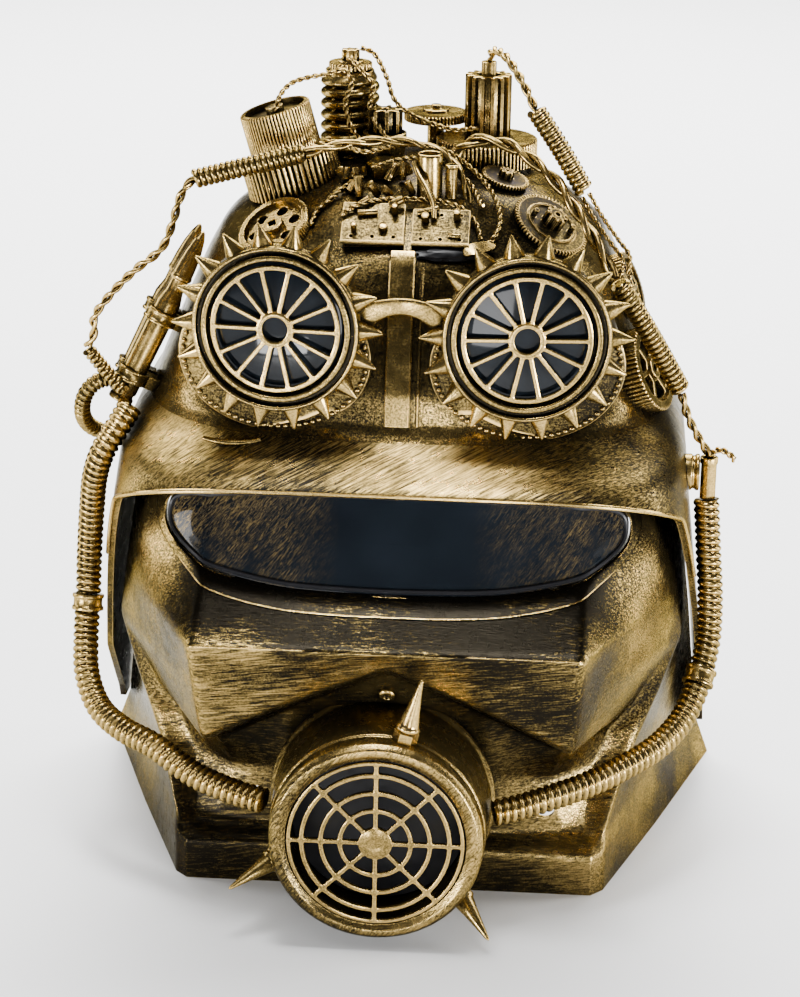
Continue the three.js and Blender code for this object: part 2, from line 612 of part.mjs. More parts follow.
// The filled form of the shell, grown by an amount or shrunk by a negative one
const shellForm = (grow) => solidOf(loft(SHELL_SECTIONS.map((section) => shellRing(section, grow))));

// A prism across the whole width from a side view of [y, z] points
function sidePrism(points) {
  const outline = new THREE.Shape(points.map(([y, z]) => new THREE.Vector2(y, z)));
  const wide = 3 * SHELL_HALF_WIDTH;
  const prism = new THREE.ExtrudeGeometry(outline, { depth: wide, bevelEnabled: false, steps: 1 });
  const matrix = new THREE.Matrix4().makeBasis(new THREE.Vector3(0, 1, 0), UP, new THREE.Vector3(1, 0, 0));
  matrix.setPosition(-wide / 2, 0, 0);
  return solidOf(prism.applyMatrix4(matrix));
}

const FAR = 3 * SHELL_DEPTH;
const belowHood = (drop) => sidePrism([
  ...HOOD_EDGE.map(({ depth, level }) => [-depth * SHELL_DEPTH, level * SHELL_HEIGHT - drop]),
  [-HOOD_EDGE.at(-1).depth * SHELL_DEPTH, -FAR],
  [-HOOD_EDGE[0].depth * SHELL_DEPTH, -FAR],
]);
const behindBack = sidePrism([
  [BACK_CUT_LOW, 0], [BACK_CUT_LOW, -FAR], [FAR, -FAR], [FAR, 2 * SHELL_HEIGHT],
  [2 * BACK_CUT_TOP - BACK_CUT_LOW, 2 * SHELL_HEIGHT],
]);

const shellOuter = shellForm(0);
const shellInner = shellForm(-SHELL_WALL);
const shellSeat = shellForm(GAP);
const helmetShell = shellOuter.subtract(shellInner).subtract(belowHood(0)).subtract(behindBack);

// The folded face plate: the whole sheet from the half that the table gives
function plateRow(row) {
  const half = PLATE_COLUMNS.map((column) => {
    const [width, depth, height] = row[column];
    return new THREE.Vector3(width * PLATE_HALF_WIDTH, -depth * PLATE_DEPTH, height * PLATE_HEIGHT);
  });
  const mirrored = half.slice(1).reverse().map((p) => new THREE.Vector3(-p.x, p.y, p.z));
  return [...mirrored, ...half];
}

const plateFront = PLATE_FOLDS.map(plateRow);

function sheetNormal(sheet, r, c) {
  const rows = sheet.length - 1;
  const columns = sheet[0].length - 1;
  const across = sheet[r][Math.min(c + 1, columns)].clone().sub(sheet[r][Math.max(c - 1, 0)]);
  const upward = sheet[Math.min(r + 1, rows)][c].clone().sub(sheet[Math.max(r - 1, 0)][c]);
  return across.cross(upward).normalize();
}

const plateBack = plateFront.map((row, r) => row.map((point, c) => {
  const inward = sheetNormal(plateFront, r, c).multiplyScalar(-PLATE_WALL);
  if (r === 0) {
    inward.z = 0;
    inward.setLength(PLATE_WALL);
  }
  return point.clone().add(inward);
}));
const plateSheet = solidOf(thickSheet(plateFront, plateBack));

// What lies behind the middle of the plate, to seat the can on it
const middleColumns = (row) => row.slice(4, -4);
const plateSeat = solidOf(thickSheet(
  plateFront.map((row) => middleColumns(row).map((p) => p.clone().add(new THREE.Vector3(0, -GAP, 0)))),
  plateFront.map((row) => middleColumns(row).map((p) => new THREE.Vector3(p.x, PLATE_DEPTH, p.z))),
));

// Prism along Y with the lens outline, grown by an amount
function lensPrism(grow) {
  const outline = new THREE.Shape();
  for (let k = 0; k < LENS_POINTS; k += 1) {
    const angle = (TURN * k) / LENS_POINTS;
    const [c, s] = [Math.cos(angle), Math.sin(angle)];
    const height = (s < 0 ? LENS_DROP : LENS_RISE) + grow;
    const x = (LENS_HALF_WIDTH + grow) * Math.sign(c) * Math.abs(c) ** (2 / LENS_POWER);
    const z = LENS_LEVEL + height * Math.sign(s) * Math.abs(s) ** (2 / LENS_POWER);
    if (k === 0) {
      outline.moveTo(x, z);
    } else {
      outline.lineTo(x, z);
    }
  }
  const depth = 1.5 * PLATE_DEPTH;
  const prism = new THREE.ExtrudeGeometry(outline, { depth, bevelEnabled: false, steps: 1 });
  return solidOf(prism.rotateX(Math.PI / 2));
}

function chinSlot(side) {
  const half = (CHIN_SLOT.length - CHIN_SLOT.height) / 2;
  const end = CHIN_SLOT.height / 2;
  const outline = new THREE.Shape();
  outline.absarc(half, 0, end, -Math.PI / 2, Math.PI / 2, false);
  outline.absarc(-half, 0, end, Math.PI / 2, 1.5 * Math.PI, false);
  const prism = new THREE.ExtrudeGeometry(outline, {
    depth: 1.5 * PLATE_DEPTH, bevelEnabled: false, steps: 1, curveSegments: SLOT_SIDES,
  });
  prism.rotateZ(side * CHIN_SLOT.slant).rotateX(Math.PI / 2);
  return solidOf(prism.translate(side * CHIN_SLOT.across, 0, CHIN_SLOT.level));
}

const lensHole = lensPrism(0);
const lensRim = lensPrism(LENS_RIM_WIDTH).subtract(lensHole);
const raisedRim = plateSheet.translate([0, -LENS_RIM_PROUD, 0]).intersect(lensRim);
const insideHood = shellForm(-SHELL_WALL - GAP).add(belowHood(GAP));
const facePlate = plateSheet.add(raisedRim).subtract(lensHole).subtract(chinSlot(-1)).subtract(chinSlot(1))
  .intersect(insideHood);
const visorLens = plateSheet.translate([0, LENS_INSET, 0]).intersect(lensPrism(-GAP)).intersect(insideHood);
const bandBox = new THREE.BoxGeometry(BAND.width, SHELL_DEPTH, BAND.lowDrop - BAND.topDrop)
  .translate(0, -SHELL_DEPTH / 2, SHELL_HEIGHT - (BAND.lowDrop + BAND.topDrop) / 2);
const centreBand = shellForm(GAP + BAND.thickness).subtract(shellSeat).intersect(solidOf(bandBox));

addPiece('helmet_shell', geometryOf(helmetShell), GOLD);
addPiece('face_plate', geometryOf(facePlate), GOLD);
addPiece('visor_lens', geometryOf(visorLens), BLACK);
addPiece('centre_band', geometryOf(centreBand), GOLD);

// Filter can, grille and spikes, in a frame that looks to the front
const FRONT = new THREE.Vector3(0, -1, 0);
const canFrame = frameAt(new THREE.Vector3(FILTER_CENTRE.across, CAN_FRONT, FILTER_CENTRE.level), FRONT, UP);

function makeFilter() {
  const root = -CAN_REACH - CAN_ROOT;
  const lip = CAN_LIP_REACH - CAN_REACH;
  const neck = CAN_BACK_RADIUS - CAN_LIP;
  const can = turned([[0, -CAN_CAVITY - CAN_WALL], [neck - CAN_WALL, -CAN_CAVITY - CAN_WALL],
    [neck - CAN_WALL, root], [neck, root], [neck, lip], [CAN_BACK_RADIUS, lip],
    [CAN_BACK_RADIUS, lip + CAN_LIP], [CAN_FRONT_RADIUS, -CAN_EDGE],
    [CAN_FRONT_RADIUS - CAN_EDGE, 0], [CAN_MOUTH_RADIUS, 0],
    [CAN_MOUTH_RADIUS, -CAN_CAVITY], [0, -CAN_CAVITY]], LARGE_SIDES);
  addSeated('filter_can', can, canFrame, GOLD, plateSeat);

  const outer = insideBore(CAN_MOUTH_RADIUS, LARGE_SIDES);
  addPiece('filter_grille', spokedDisc(outer, GRILLE, GRILLE_RINGS), BRIGHT_GOLD, canFrame);
  const backing = turned([[0, 0], [outer, 0], [outer, BACKING_THICKNESS], [0, BACKING_THICKNESS]]);
  addPiece('filter_backing', backing.translate(0, 0, GAP - CAN_CAVITY), BLACK, canFrame);

  const centre = new THREE.Vector3(FILTER_CENTRE.across, 0, FILTER_CENTRE.level);
  const canSolid = moved(solidOf(can), canFrame);
  SPIKES.forEach(({ name, angle, behindFront, lean }) => {
    const radial = new THREE.Vector3(Math.cos(radians(angle)), 0, Math.sin(radians(angle)));
    const axis = radial.clone().multiplyScalar(Math.cos(radians(lean)))
      .addScaledVector(FRONT, Math.sin(radians(lean)));
    const { nutRadius, nutLength, coneRadius, coneLength, shoulder, sink } = SPIKE;
    const foot = centre.clone().addScaledVector(radial, CAN_FRONT_RADIUS - sink);
    foot.y = CAN_FRONT + behindFront;
    const nut = turned([[0, -2 * sink], [nutRadius, -2 * sink], [nutRadius, nutLength], [0, nutLength]],
      NUT_SIDES);
    const cone = turned([[0, nutLength - OVERLAP], [coneRadius, nutLength - OVERLAP],
      [coneRadius, nutLength + shoulder], [0, nutLength + coneLength]], BAR_SIDES);
    const matrix = frameAt(foot, axis, Math.abs(axis.z) > 0.9 ? FRONT : UP);
    const away = radial.clone().multiplyScalar(GAP);
    addSeated(name, geometryOf(joined(nut, cone)), matrix, BRIGHT_GOLD,
      canSolid.add(canSolid.translate(away.toArray())));
  });
}
makeFilter();

// Goggles: base on the dome, spiked ring, lens and spoked wheel
function ringGeometry() {
  const { radius, mouth, seat, depth, shoulder, neck, lensSeat, bevel } = GOGGLE_RING;
  const cup = turned([[mouth, 0], [radius, -bevel], [radius, -shoulder], [neck, -shoulder],
    [neck, -depth], [seat, -depth], [seat, -lensSeat], [mouth, -lensSeat], [mouth, 0]]);
  const { count, radius: foot, length, root, sides, level, phase } = GOGGLE_CONES;
  const cones = [];
  for (let k = 0; k < count; k += 1) {
    const cone = new THREE.ConeGeometry(foot, length + root, sides);
    cone.translate(0, radius + (length - root) / 2, -level).rotateZ((TURN * (k + phase)) / count);
    cones.push(cone);
  }
  return geometryOf(joined(cup, ...cones));
}

function baseGeometry({ baseAcross, baseDown }) {
  const { halfWidth, halfHeight, plate, wall, reach, hole } = GOGGLE_BASE;
  const oval = (grow) => new THREE.Shape()
    .absellipse(baseAcross, -baseDown, halfWidth + grow, halfHeight + grow, 0, TURN, false, 0);
  const settings = { bevelEnabled: false, steps: 1, curveSegments: 8 };
  const skirt = new THREE.ExtrudeGeometry(oval(0), { ...settings, depth: reach }).translate(0, 0, -reach);
  const hollow = new THREE.ExtrudeGeometry(oval(-wall), { ...settings, depth: reach });
  hollow.translate(0, 0, -reach - plate);
  const bore = turned([[0, -2 * plate], [hole, -2 * plate], [hole, plate], [0, plate]]);
  return geometryOf(solidOf(skirt).subtract(solidOf(hollow)).subtract(solidOf(bore)));
}

// The middle of a goggle's mouth
function goggleCentre({ across, drop, stand }) {
  const level = SHELL_HEIGHT - drop;
  return new THREE.Vector3(across, -shellSection(level).front - stand, level);
}

function makeGoggle(goggle) {
  const facing = new THREE.Vector3(Math.sin(radians(goggle.turn)), -Math.cos(radians(goggle.turn)), 0);
  const frame = frameAt(goggleCentre(goggle), facing, UP);
  const { depth, lensSeat, mouth } = GOGGLE_RING;
  addPiece(`goggle_${goggle.side}_ring`, ringGeometry(), BRIGHT_GOLD, frame);
  const { thickness, crown } = GOGGLE_LENS;
  const edge = insideBore(mouth, ROUND_SIDES);
  const lens = turned([[0, 0], [edge, 0], [edge, thickness - crown], [0, thickness]]);
  addPiece(`goggle_${goggle.side}_lens`, lens.translate(0, 0, GAP - lensSeat), BLACK, frame);
  addPiece(`goggle_${goggle.side}_wheel`, spokedDisc(edge, GOGGLE_WHEEL), BRIGHT_GOLD, frame);
  const baseFrame = frame.clone().multiply(new THREE.Matrix4().makeTranslation(0, 0, -depth - GAP));
  addSeated(`goggle_${goggle.side}_base`, baseGeometry(goggle), baseFrame, DARK, shellSeat);
}
GOGGLES.forEach(makeGoggle);

function makeBridge() {
  const [left, right] = GOGGLES.map(goggleCentre);
  const reach = GOGGLE_RING.radius + 2 * GAP;
  const level = (left.z + right.z) / 2 + BRIDGE.drop;
  const across = Math.sqrt(reach ** 2 - BRIDGE.drop ** 2) + BRIDGE.gap;
  const depth = left.y + BRIDGE.depth;
  const start = new THREE.Vector3(left.x + across, depth, level);
  const end = new THREE.Vector3(right.x - across, depth, level);
  const rise = (share) => BRIDGE.arch * Math.sin(Math.PI * share);
  const route = [0, 0.2, 0.4, 0.6, 0.8, 1].map((share) => {
    const point = start.clone().lerp(end, share);
    return [point.x, point.y - BRIDGE.bow * Math.sin(Math.PI * share), point.z + rise(share)];
  });
  addPiece('goggle_bridge', tube(route, BRIDGE.radius, BAR_SIDES, BRIDGE.steps), BRIGHT_GOLD);
}
makeBridge();

// Cartridges and the bands that hold them to the dome
function makeCartridges() {
  const { radius, body, shoulder, neck, neckLength, tip, tipLength } = CARTRIDGE;
  const surface = (depth, drop) => domeSide(depth, SHELL_HEIGHT - drop, -1);
  const seatOf = ({ depth, drop, stand }, back) => {
    const place = surface(depth + back, drop);
    return place.addScaledVector(shellNormal(place), radius + stand);
  };
  const top = body + shoulder + neckLength;
  const cartridge = turned([[0, 0], [radius, 0], [radius, body], [neck, body + shoulder], [neck, top],
    [tip, top], [tip / 2, top + tipLength * TIP_SHOULDER], [0, top + tipLength]], SMALL_SIDES);
  const middleDrop = (CARTRIDGE_FOOT.drop + CARTRIDGE_TIP.drop) / 2;
  const frames = [0, 2 * radius + CARTRIDGE_SPACE].map((back) => {
    const foot = seatOf(CARTRIDGE_FOOT, back);
    const axis = seatOf(CARTRIDGE_TIP, back).sub(foot).normalize();
    const outward = shellNormal(surface(CARTRIDGE_FOOT.depth + back, middleDrop));
    return frameAt(foot, axis, outward);
  });
  addPiece('cartridge_front', cartridge, BRIGHT_GOLD, frames[0]);
  addPiece('cartridge_rear', cartridge.clone(), BRIGHT_GOLD, frames[1]);
  BAND_PLACES.forEach(({ name, along }) => {
    const { wall, height, lugWidth, lugReach, lugRoot } = BAND_RING;
    const outer = radius + wall;
    const at = (geometry, frame) => moved(solidOf(geometry), frame);
    const ring = turned([[0, along], [outer, along], [outer, along + height], [0, along + height]],
      SMALL_SIDES);
    const bore = turned([[0, -height], [radius + GAP, -height], [radius + GAP, top], [0, top]], SMALL_SIDES);
    const lug = new THREE.BoxGeometry(lugWidth, lugReach, height)
      .translate(0, lugRoot - outer - lugReach / 2, along + height / 2);
    const band = frames.map((frame) => at(ring, frame).add(at(lug, frame)))
      .reduce((all, next) => all.add(next));
    const cutter = frames.map((frame) => at(bore, frame)).reduce((all, next) => all.add(next), shellSeat);
    addPiece(name, geometryOf(band.subtract(cutter)), GOLD);
  });
}
makeCartridges();

// Hoses, wires, coils and their fittings
const overShell = ([x, y, z]) => [
  (x * SHELL_HALF_WIDTH) / LAID_OVER.halfWidth,
  (y * SHELL_DEPTH) / LAID_OVER.depth,
  (z * SHELL_HEIGHT) / LAID_OVER.height,
];
HOSES.forEach(({ name, radius, sides, steps, seated }) => {
  const geometry = tube(ROUTES[name].map(overShell), radius, sides, steps);
  if (seated) {
    addSeated(name, geometry, new THREE.Matrix4(), GOLD, shellSeat);
  } else {
    addPiece(name, geometry, GOLD);
  }
});
COILS.forEach(({ name, radius, from, to }) => {
  addPiece(name, bar(overShell(from), overShell(to), radius, BAR_SIDES), BRIGHT_GOLD);
});

function makeJoint(name, above, below) {
  const start = v3(overShell(above.at(-1)));
  const end = v3(overShell(below[0]));
  const middle = start.clone().add(end).multiplyScalar(0.5);
  const half = end.clone().sub(start).setLength(start.distanceTo(end) / 2 - 2 * GAP);
  const ends = [middle.clone().sub(half), middle.clone().add(half)].map((point) => point.toArray());
  addPiece(name, bar(...ends, HOSE_RADIUS + JOINT_WALL, SMALL_SIDES), BRIGHT_GOLD);
}
makeJoint('hose_left_joint', ROUTES.hose_left_upper, ROUTES.hose_left_lower);
makeJoint('hose_right_joint', ROUTES.hose_right_upper, ROUTES.hose_right_lower);

function makeBoss() {
  const seat = domeSide(BOSS.depth, SHELL_HEIGHT - BOSS.drop, 1);
  const root = [seat.x - BOSS.root, seat.y, seat.z];
  const end = [seat.x + BOSS.stand, seat.y, seat.z];
  const boss = bar(root, end, BOSS.radius, ROUND_SIDES);
  addSeated('hose_right_boss', boss, new THREE.Matrix4(), BRIGHT_GOLD, shellSeat);
  const { radius, below, above, depth } = WIRE_TUBE;
  const across = end[0] + radius + 2 * GAP;
  const tubeLow = [across, depth, seat.z - below];
  const tubeHigh = [across, depth, seat.z + above];
  addPiece('wire_tube', bar(tubeLow, tubeHigh, radius, SMALL_SIDES), BRIGHT_GOLD);
}
makeBoss();

// Clockwork
function onDome(across, depth, sink, lean) {
  const place = domeTop(across, depth);
  const outward = lean ?? shellNormal(place);
  return frameAt(place.addScaledVector(outward, -sink), outward, new THREE.Vector3(0, 1, 0));
}

function makePulley() {
  const lean = new THREE.Vector3(PULLEY.leanSide, PULLEY.leanFront, 1).normalize();
  const frame = onDome(PULLEY.across, PULLEY.depth, PULLEY.sink, lean);
  const gearTop = PULLEY.sink + PULLEY.gearHeight;
  const { gearRadius, drumRadius, drumHeight, rim, bevel, recess, hub, hubRise } = PULLEY;
  const gearProfile = [[0, 0], [gearRadius, 0], [gearRadius, gearTop], [0, gearTop]];
  addSeated('pulley_gear', turned(gearProfile, LARGE_SIDES), frame, GOLD, shellSeat);
  const floor = drumHeight - recess;
  const hubTop = drumHeight + hubRise;
  const drum = turned([[0, 0], [drumRadius, 0], [drumRadius, drumHeight], [drumRadius - rim, drumHeight],
    [drumRadius - rim - bevel, floor], [hub, floor], [hub, hubTop], [0, hubTop]]);
  addPiece('pulley_drum', drum.translate(0, 0, gearTop + GAP), GOLD, frame);
}
makePulley();

function makeWorm() {
  const frame = onDome(WORM.across, WORM.depth, WORM.sink, UP);
  const pitch = WORM.height / WORM.threads;
  const profile = [[0, 0]];
  for (let k = 0; k < WORM.threads; k += 1) {
    profile.push([WORM.rootRadius, k * pitch], [WORM.threadRadius, (k + 0.5) * pitch]);
  }
  profile.push([WORM.rootRadius, WORM.height], [0, WORM.height]);
  addSeated('worm', turned(profile, SMALL_SIDES), frame, GOLD, shellSeat);
  const { discRadius, discHeight, pinionRadius, pinionHeight, pinionTeeth } = WORM;
  const disc = turned([[0, 0], [discRadius, 0], [discRadius, discHeight], [0, discHeight]], SMALL_SIDES);
  const pinion = gear(pinionRadius, pinionHeight + OVERLAP, pinionTeeth, 0)
    .translate(0, 0, discHeight - OVERLAP);
  const topPiece = geometryOf(joined(disc, pinion)).translate(0, 0, WORM.height + GAP);
  addPiece('worm_pinion', topPiece, BRIGHT_GOLD, frame);
}
makeWorm();

function makeCentre() {
  const frame = onDome(CUP.across, CUP.depth, CUP.sink, UP);
  const { radius, taper, brim, height, pinionRadius, pinionHeight, pinionTeeth } = CUP;
  const cup = turned([[0, 0], [radius - taper, 0], [radius, height * brim], [radius, height], [0, height]],
    SMALL_SIDES);
  const pinion = gear(pinionRadius, pinionHeight + OVERLAP, pinionTeeth, 0).translate(0, 0, height - OVERLAP);
  addSeated('centre_pinion', geometryOf(joined(cup, pinion)), frame, GOLD, shellSeat);
  const boltFrame = onDome(BOLT.across, BOLT.depth, BOLT.sink);
  const bolt = turned([[0, 0], [BOLT.radius, 0], [BOLT.radius, BOLT.sink + BOLT.height],
    [0, BOLT.sink + BOLT.height]], NUT_SIDES);
  addSeated('bolt_head', bolt, boltFrame, BRIGHT_GOLD, shellSeat);
}
makeCentre();

function makeRightStack() {
  const frame = onDome(DISC_RIGHT.across, DISC_RIGHT.depth, DISC_RIGHT.sink, UP);
  const discTop = DISC_RIGHT.sink + DISC_RIGHT.thickness;
  const discProfile = [[0, 0], [DISC_RIGHT.radius, 0], [DISC_RIGHT.radius, discTop], [0, discTop]];
  addSeated('disc_right', turned(discProfile, LARGE_SIDES), frame, GOLD, shellSeat);
  const tall = gear(PINION_TALL.radius, PINION_TALL.height, PINION_TALL.teeth, 0);
  const hubTop = PINION_TALL.hubHeight + OVERLAP;
  const hub = turned([[0, 0], [PINION_TALL.hub, 0], [PINION_TALL.hub, hubTop], [0, hubTop]], SMALL_SIDES)
    .translate(0, 0, PINION_TALL.height - OVERLAP);
  addPiece('pinion_tall', geometryOf(joined(tall, hub)).translate(0, 0, discTop + GAP), BRIGHT_GOLD, frame);

  const { across, depth, sink, radius, thickness, post, postHeight } = DISC_MIDDLE;
  const middleFrame = onDome(across, depth, sink, UP);
  const base = sink + postHeight;
  const postSolid = turned([[0, 0], [post, 0], [post, base + OVERLAP], [0, base + OVERLAP]], SMALL_SIDES);
  const disc = turned([[0, base], [radius, base], [radius, base + thickness], [0, base + thickness]]);
  addSeated('disc_middle', geometryOf(joined(postSolid, disc)), middleFrame, GOLD, shellSeat);
}
makeRightStack();

FLAT_GEARS.forEach(({ name, across, depth, behindGoggle, radius, thickness, teeth, bore, holes }) => {
  const goggle = goggleCentre(GOGGLES[across < 0 ? 0 : 1]);
  const frame = onDome(across, depth ?? goggle.y + behindGoggle, FLAT_GEAR_SINK);
  const flatGear = gear(radius, FLAT_GEAR_SINK + thickness, teeth, bore, holes);
  addSeated(name, flatGear, frame, BRIGHT_GOLD, shellSeat);
});

TEMPLE_GEARS.forEach(({ name, depth, drop, radius, thickness }) => {
  const place = domeSide(depth, SHELL_HEIGHT - drop, 1);
  const outward = shellNormal(place);
  const frame = frameAt(place.addScaledVector(outward, -TEMPLE_SINK), outward, UP);
  const top = TEMPLE_SINK + thickness;
  addSeated(name, turned([[0, 0], [radius, 0], [radius, top], [0, top]]), frame, GOLD, shellSeat);
});

const canisterFrame = onDome(CANISTER.across, CANISTER.depth, CANISTER.sink, UP);
const canisterBore = CANISTER.radius - CANISTER.wall;
const canisterFloor = CANISTER.height - CANISTER.recess;
const canister = turned([[0, 0], [CANISTER.radius, 0], [CANISTER.radius, CANISTER.height],
  [canisterBore, CANISTER.height], [canisterBore, canisterFloor], [0, canisterFloor]], SMALL_SIDES);
addSeated('canister', canister, canisterFrame, BRIGHT_GOLD, shellSeat);

STRAP_PLATES.forEach(({ name, across, depth, width, length, thickness }) => {
  const place = domeTop(across, depth * SHELL_DEPTH);
  const outward = shellNormal(place);
  outward.x = 0;
  const frame = frameAt(place, outward.normalize(), new THREE.Vector3(0, 1, 0));
  const box = new THREE.BoxGeometry(width, length, thickness);
  addSeated(name, box, frame, GOLD, shellSeat);
});

// The origin goes to the middle of the base of the whole mask
const part = new THREE.Group();
part.add(model);
part.updateMatrixWorld(true);
const bounds = new THREE.Box3().setFromObject(model, true);
const middle = bounds.getCenter(new THREE.Vector3());
model.position.set(-middle.x, -middle.y, -bounds.min.z);

export default part;
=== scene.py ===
# %% [markdown]
# # A costume mask with goggles, a breathing filter and clockwork
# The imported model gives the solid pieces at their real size. This lesson gives each of them its fine shape
# and its finish. The real mask is moulded plastic, sprayed nearly black and then dry-brushed with gold.
# All lengths below are millimetres in the mask's own frame: the wearer looks along -Y, and the mask stands
# on z = 0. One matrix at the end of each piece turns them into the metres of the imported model.

import math
import random

import bmesh
import bpy
import numpy as np
from mathutils import Matrix, Vector
from mathutils.bvhtree import BVHTree


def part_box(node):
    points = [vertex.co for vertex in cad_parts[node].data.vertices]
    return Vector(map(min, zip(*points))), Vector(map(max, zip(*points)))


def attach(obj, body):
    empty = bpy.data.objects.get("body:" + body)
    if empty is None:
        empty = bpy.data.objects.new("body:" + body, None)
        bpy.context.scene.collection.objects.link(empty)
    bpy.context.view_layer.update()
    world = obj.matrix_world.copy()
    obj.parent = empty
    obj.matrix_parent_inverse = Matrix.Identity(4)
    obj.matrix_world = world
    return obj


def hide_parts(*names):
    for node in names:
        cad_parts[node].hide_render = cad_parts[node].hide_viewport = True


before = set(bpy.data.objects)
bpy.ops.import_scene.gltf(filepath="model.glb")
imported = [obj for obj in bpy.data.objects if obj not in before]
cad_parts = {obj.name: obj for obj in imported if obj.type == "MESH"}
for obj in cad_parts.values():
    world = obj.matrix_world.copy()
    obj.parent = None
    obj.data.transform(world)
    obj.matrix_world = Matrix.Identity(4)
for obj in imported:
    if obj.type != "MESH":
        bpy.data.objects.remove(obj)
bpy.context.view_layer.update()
MM = 0.001
TURN = 2 * math.pi
GAP = 0.35
SHELL_HEIGHT, SHELL_HALF_WIDTH, SHELL_DEPTH = 274, 130, 116
PLATE_HALF_WIDTH, PLATE_DEPTH, PLATE_HEIGHT = 131, 135, 166
CHIN_FRONT = 0.733 * PLATE_DEPTH
CAN_REACH = 51
CAN_FRONT = -CHIN_FRONT - CAN_REACH
plate_low, plate_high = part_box("face_plate")
can_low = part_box("filter_can")[0]
shift = Vector(((plate_low.x + plate_high.x) / 2 / MM, can_low.y / MM - CAN_FRONT, 0))
TO_FRAME = Matrix.Scale(MM, 4) @ Matrix.Translation(shift)
random.seed(7)
print("mask frame shift in mm:", tuple(round(value, 2) for value in shift))

# %% [markdown]
# ## The camera
# The photo looks down on the mask by about 20 degrees and very slightly from its right. The camera stands
# 1.1 m away. A lens of about 102 mm then gives the photo's frame of 800 by 997 pixels. The camera's own
# axes are worked out from the two angles and a small roll, and put in a matrix, so no constraint is needed.

# %% Camera
CAMERA_TURN, CAMERA_TILT, CAMERA_ROLL = math.radians(3.5), math.radians(20), math.radians(1)
CAMERA_DISTANCE = 1100
CAMERA_TARGET = Vector((0, -60, 150))
FOCAL_PIXELS, PHOTO_HEIGHT, SENSOR = 2820, 997, 36


def camera_axes():
    """The camera's right, up and forward directions."""
    across = Vector((math.cos(CAMERA_TURN), math.sin(CAMERA_TURN), 0))
    forward = Vector((
        -math.sin(CAMERA_TURN) * math.cos(CAMERA_TILT),
        math.cos(CAMERA_TURN) * math.cos(CAMERA_TILT),
        -math.sin(CAMERA_TILT),
    ))
    upward = across.cross(forward)
    right = across * math.cos(CAMERA_ROLL) + upward * math.sin(CAMERA_ROLL)
    return right, right.cross(forward), forward


right, upward, forward = camera_axes()
camera = bpy.data.objects.new("camera", bpy.data.cameras.new("camera"))
bpy.context.scene.collection.objects.link(camera)
camera.data.lens = FOCAL_PIXELS * SENSOR / PHOTO_HEIGHT
camera.data.sensor_width = SENSOR
camera.data.clip_end = 20
turned_axes = Matrix((right, upward, -forward)).transposed().to_4x4()
eye = TO_FRAME @ (CAMERA_TARGET - forward * CAMERA_DISTANCE)
camera.matrix_world = Matrix.Translation(eye) @ turned_axes
bpy.context.scene.camera = camera
print("lens in mm:", round(camera.data.lens, 1))

# %% [markdown]
# ## Floor, light and sky
# A studio photo on white: a pale floor, a soft light above, a weak one in front, one on each side and a broad
# one behind that whitens the floor. Gold paint shows mostly what it mirrors, so each light is an area placed
# where a face of the mask would mirror it: two stand low on both sides for the chin, and two small ones are
# the reflections in the lenses. The sky is a dim grey that leaves the downward faces dark, as in the photo.

# %% Floor and lights
FLOOR_SIZE = 9
floor_mesh = bpy.data.meshes.new("floor")
half = FLOOR_SIZE / 2
corners = [(-half, -half, 0), (half, -half, 0), (half, half, 0), (-half, half, 0)]
floor_mesh.from_pydata(corners, [], [(0, 1, 2, 3)])
floor = bpy.data.objects.new("floor", floor_mesh)
bpy.context.scene.collection.objects.link(floor)


def add_light(name, place, size, power, aim=tuple(CAMERA_TARGET)):
    """An area light at a place in the mask's frame, aimed at a point of the mask."""
    data = bpy.data.lights.new(name, "AREA")
    data.shape = "RECTANGLE"
    data.size, data.size_y = size
    data.energy = power
    light = bpy.data.objects.new(name, data)
    bpy.context.scene.collection.objects.link(light)
    start, end = TO_FRAME @ Vector(place), TO_FRAME @ Vector(aim)
    facing = (end - start).to_track_quat("-Z", "Y").to_matrix().to_4x4()
    light.matrix_world = Matrix.Translation(start) @ facing


add_light("light_above", (-60, -165, 1450), (0.45, 0.26), 17)
add_light("light_front", (-500, -700, 1500), (0.7, 0.5), 4)
add_light("light_left", (-1050, 180, 420), (0.3, 1.0), 6)
add_light("light_right", (1050, 220, 420), (0.3, 1.0), 12)
add_light("light_behind", (0, 1500, 1500), (2.4, 1.2), 210, (0, 1150, 0))
add_light("light_low", (-190, -640, 22), (0.1, 0.035), 0.5, (-45, -100, 225))
add_light("light_lens", (52, -640, 118), (0.11, 0.14), 0.7, (48, -100, 225))
add_light("light_low_left", (-1050, -1000, 110), (0.5, 0.2), 19)
add_light("light_low_right", (1050, -950, 110), (0.5, 0.2), 30)
sky = bpy.data.worlds.new("sky")
sky.use_nodes = True
SKY_COLOUR, SKY_STRENGTH = (0.93, 0.95, 1, 1), 0.06
sky.node_tree.nodes["Background"].inputs["Color"].default_value = SKY_COLOUR
sky.node_tree.nodes["Background"].inputs["Strength"].default_value = SKY_STRENGTH
bpy.context.scene.world = sky

# %% [markdown]
# ## The finish: black plastic dry-brushed with gold
# A painter drags a nearly dry brush over the dark plastic. The gold stays in strokes, in a speckle, and most
# of all on edges, and the brush misses the hollows. Stretched noise for strokes, fine noise for speckle and
# the
# Bevel node for edges add up to the share of gold. The Ambient Occlusion node then darkens the small hollows,
# partly for the unbrushed paint and partly as painted shade, and on the large pieces a wide reach of it
# paints the shade under the brow and the goggles. The share mixes the colour and the metal, and gives a
# little bump.

# %% Node helpers


def add_node(tree, kind, inputs=None, **settings):
    """A node with its settings, and its inputs set or linked by name or number."""
    made = tree.nodes.new(kind)
    for key, value in settings.items():
        setattr(made, key, value)
    for key, value in (inputs or {}).items():
        if isinstance(value, bpy.types.NodeSocket):
            tree.links.new(value, made.inputs[key])
        else:
            made.inputs[key].default_value = value
    return made


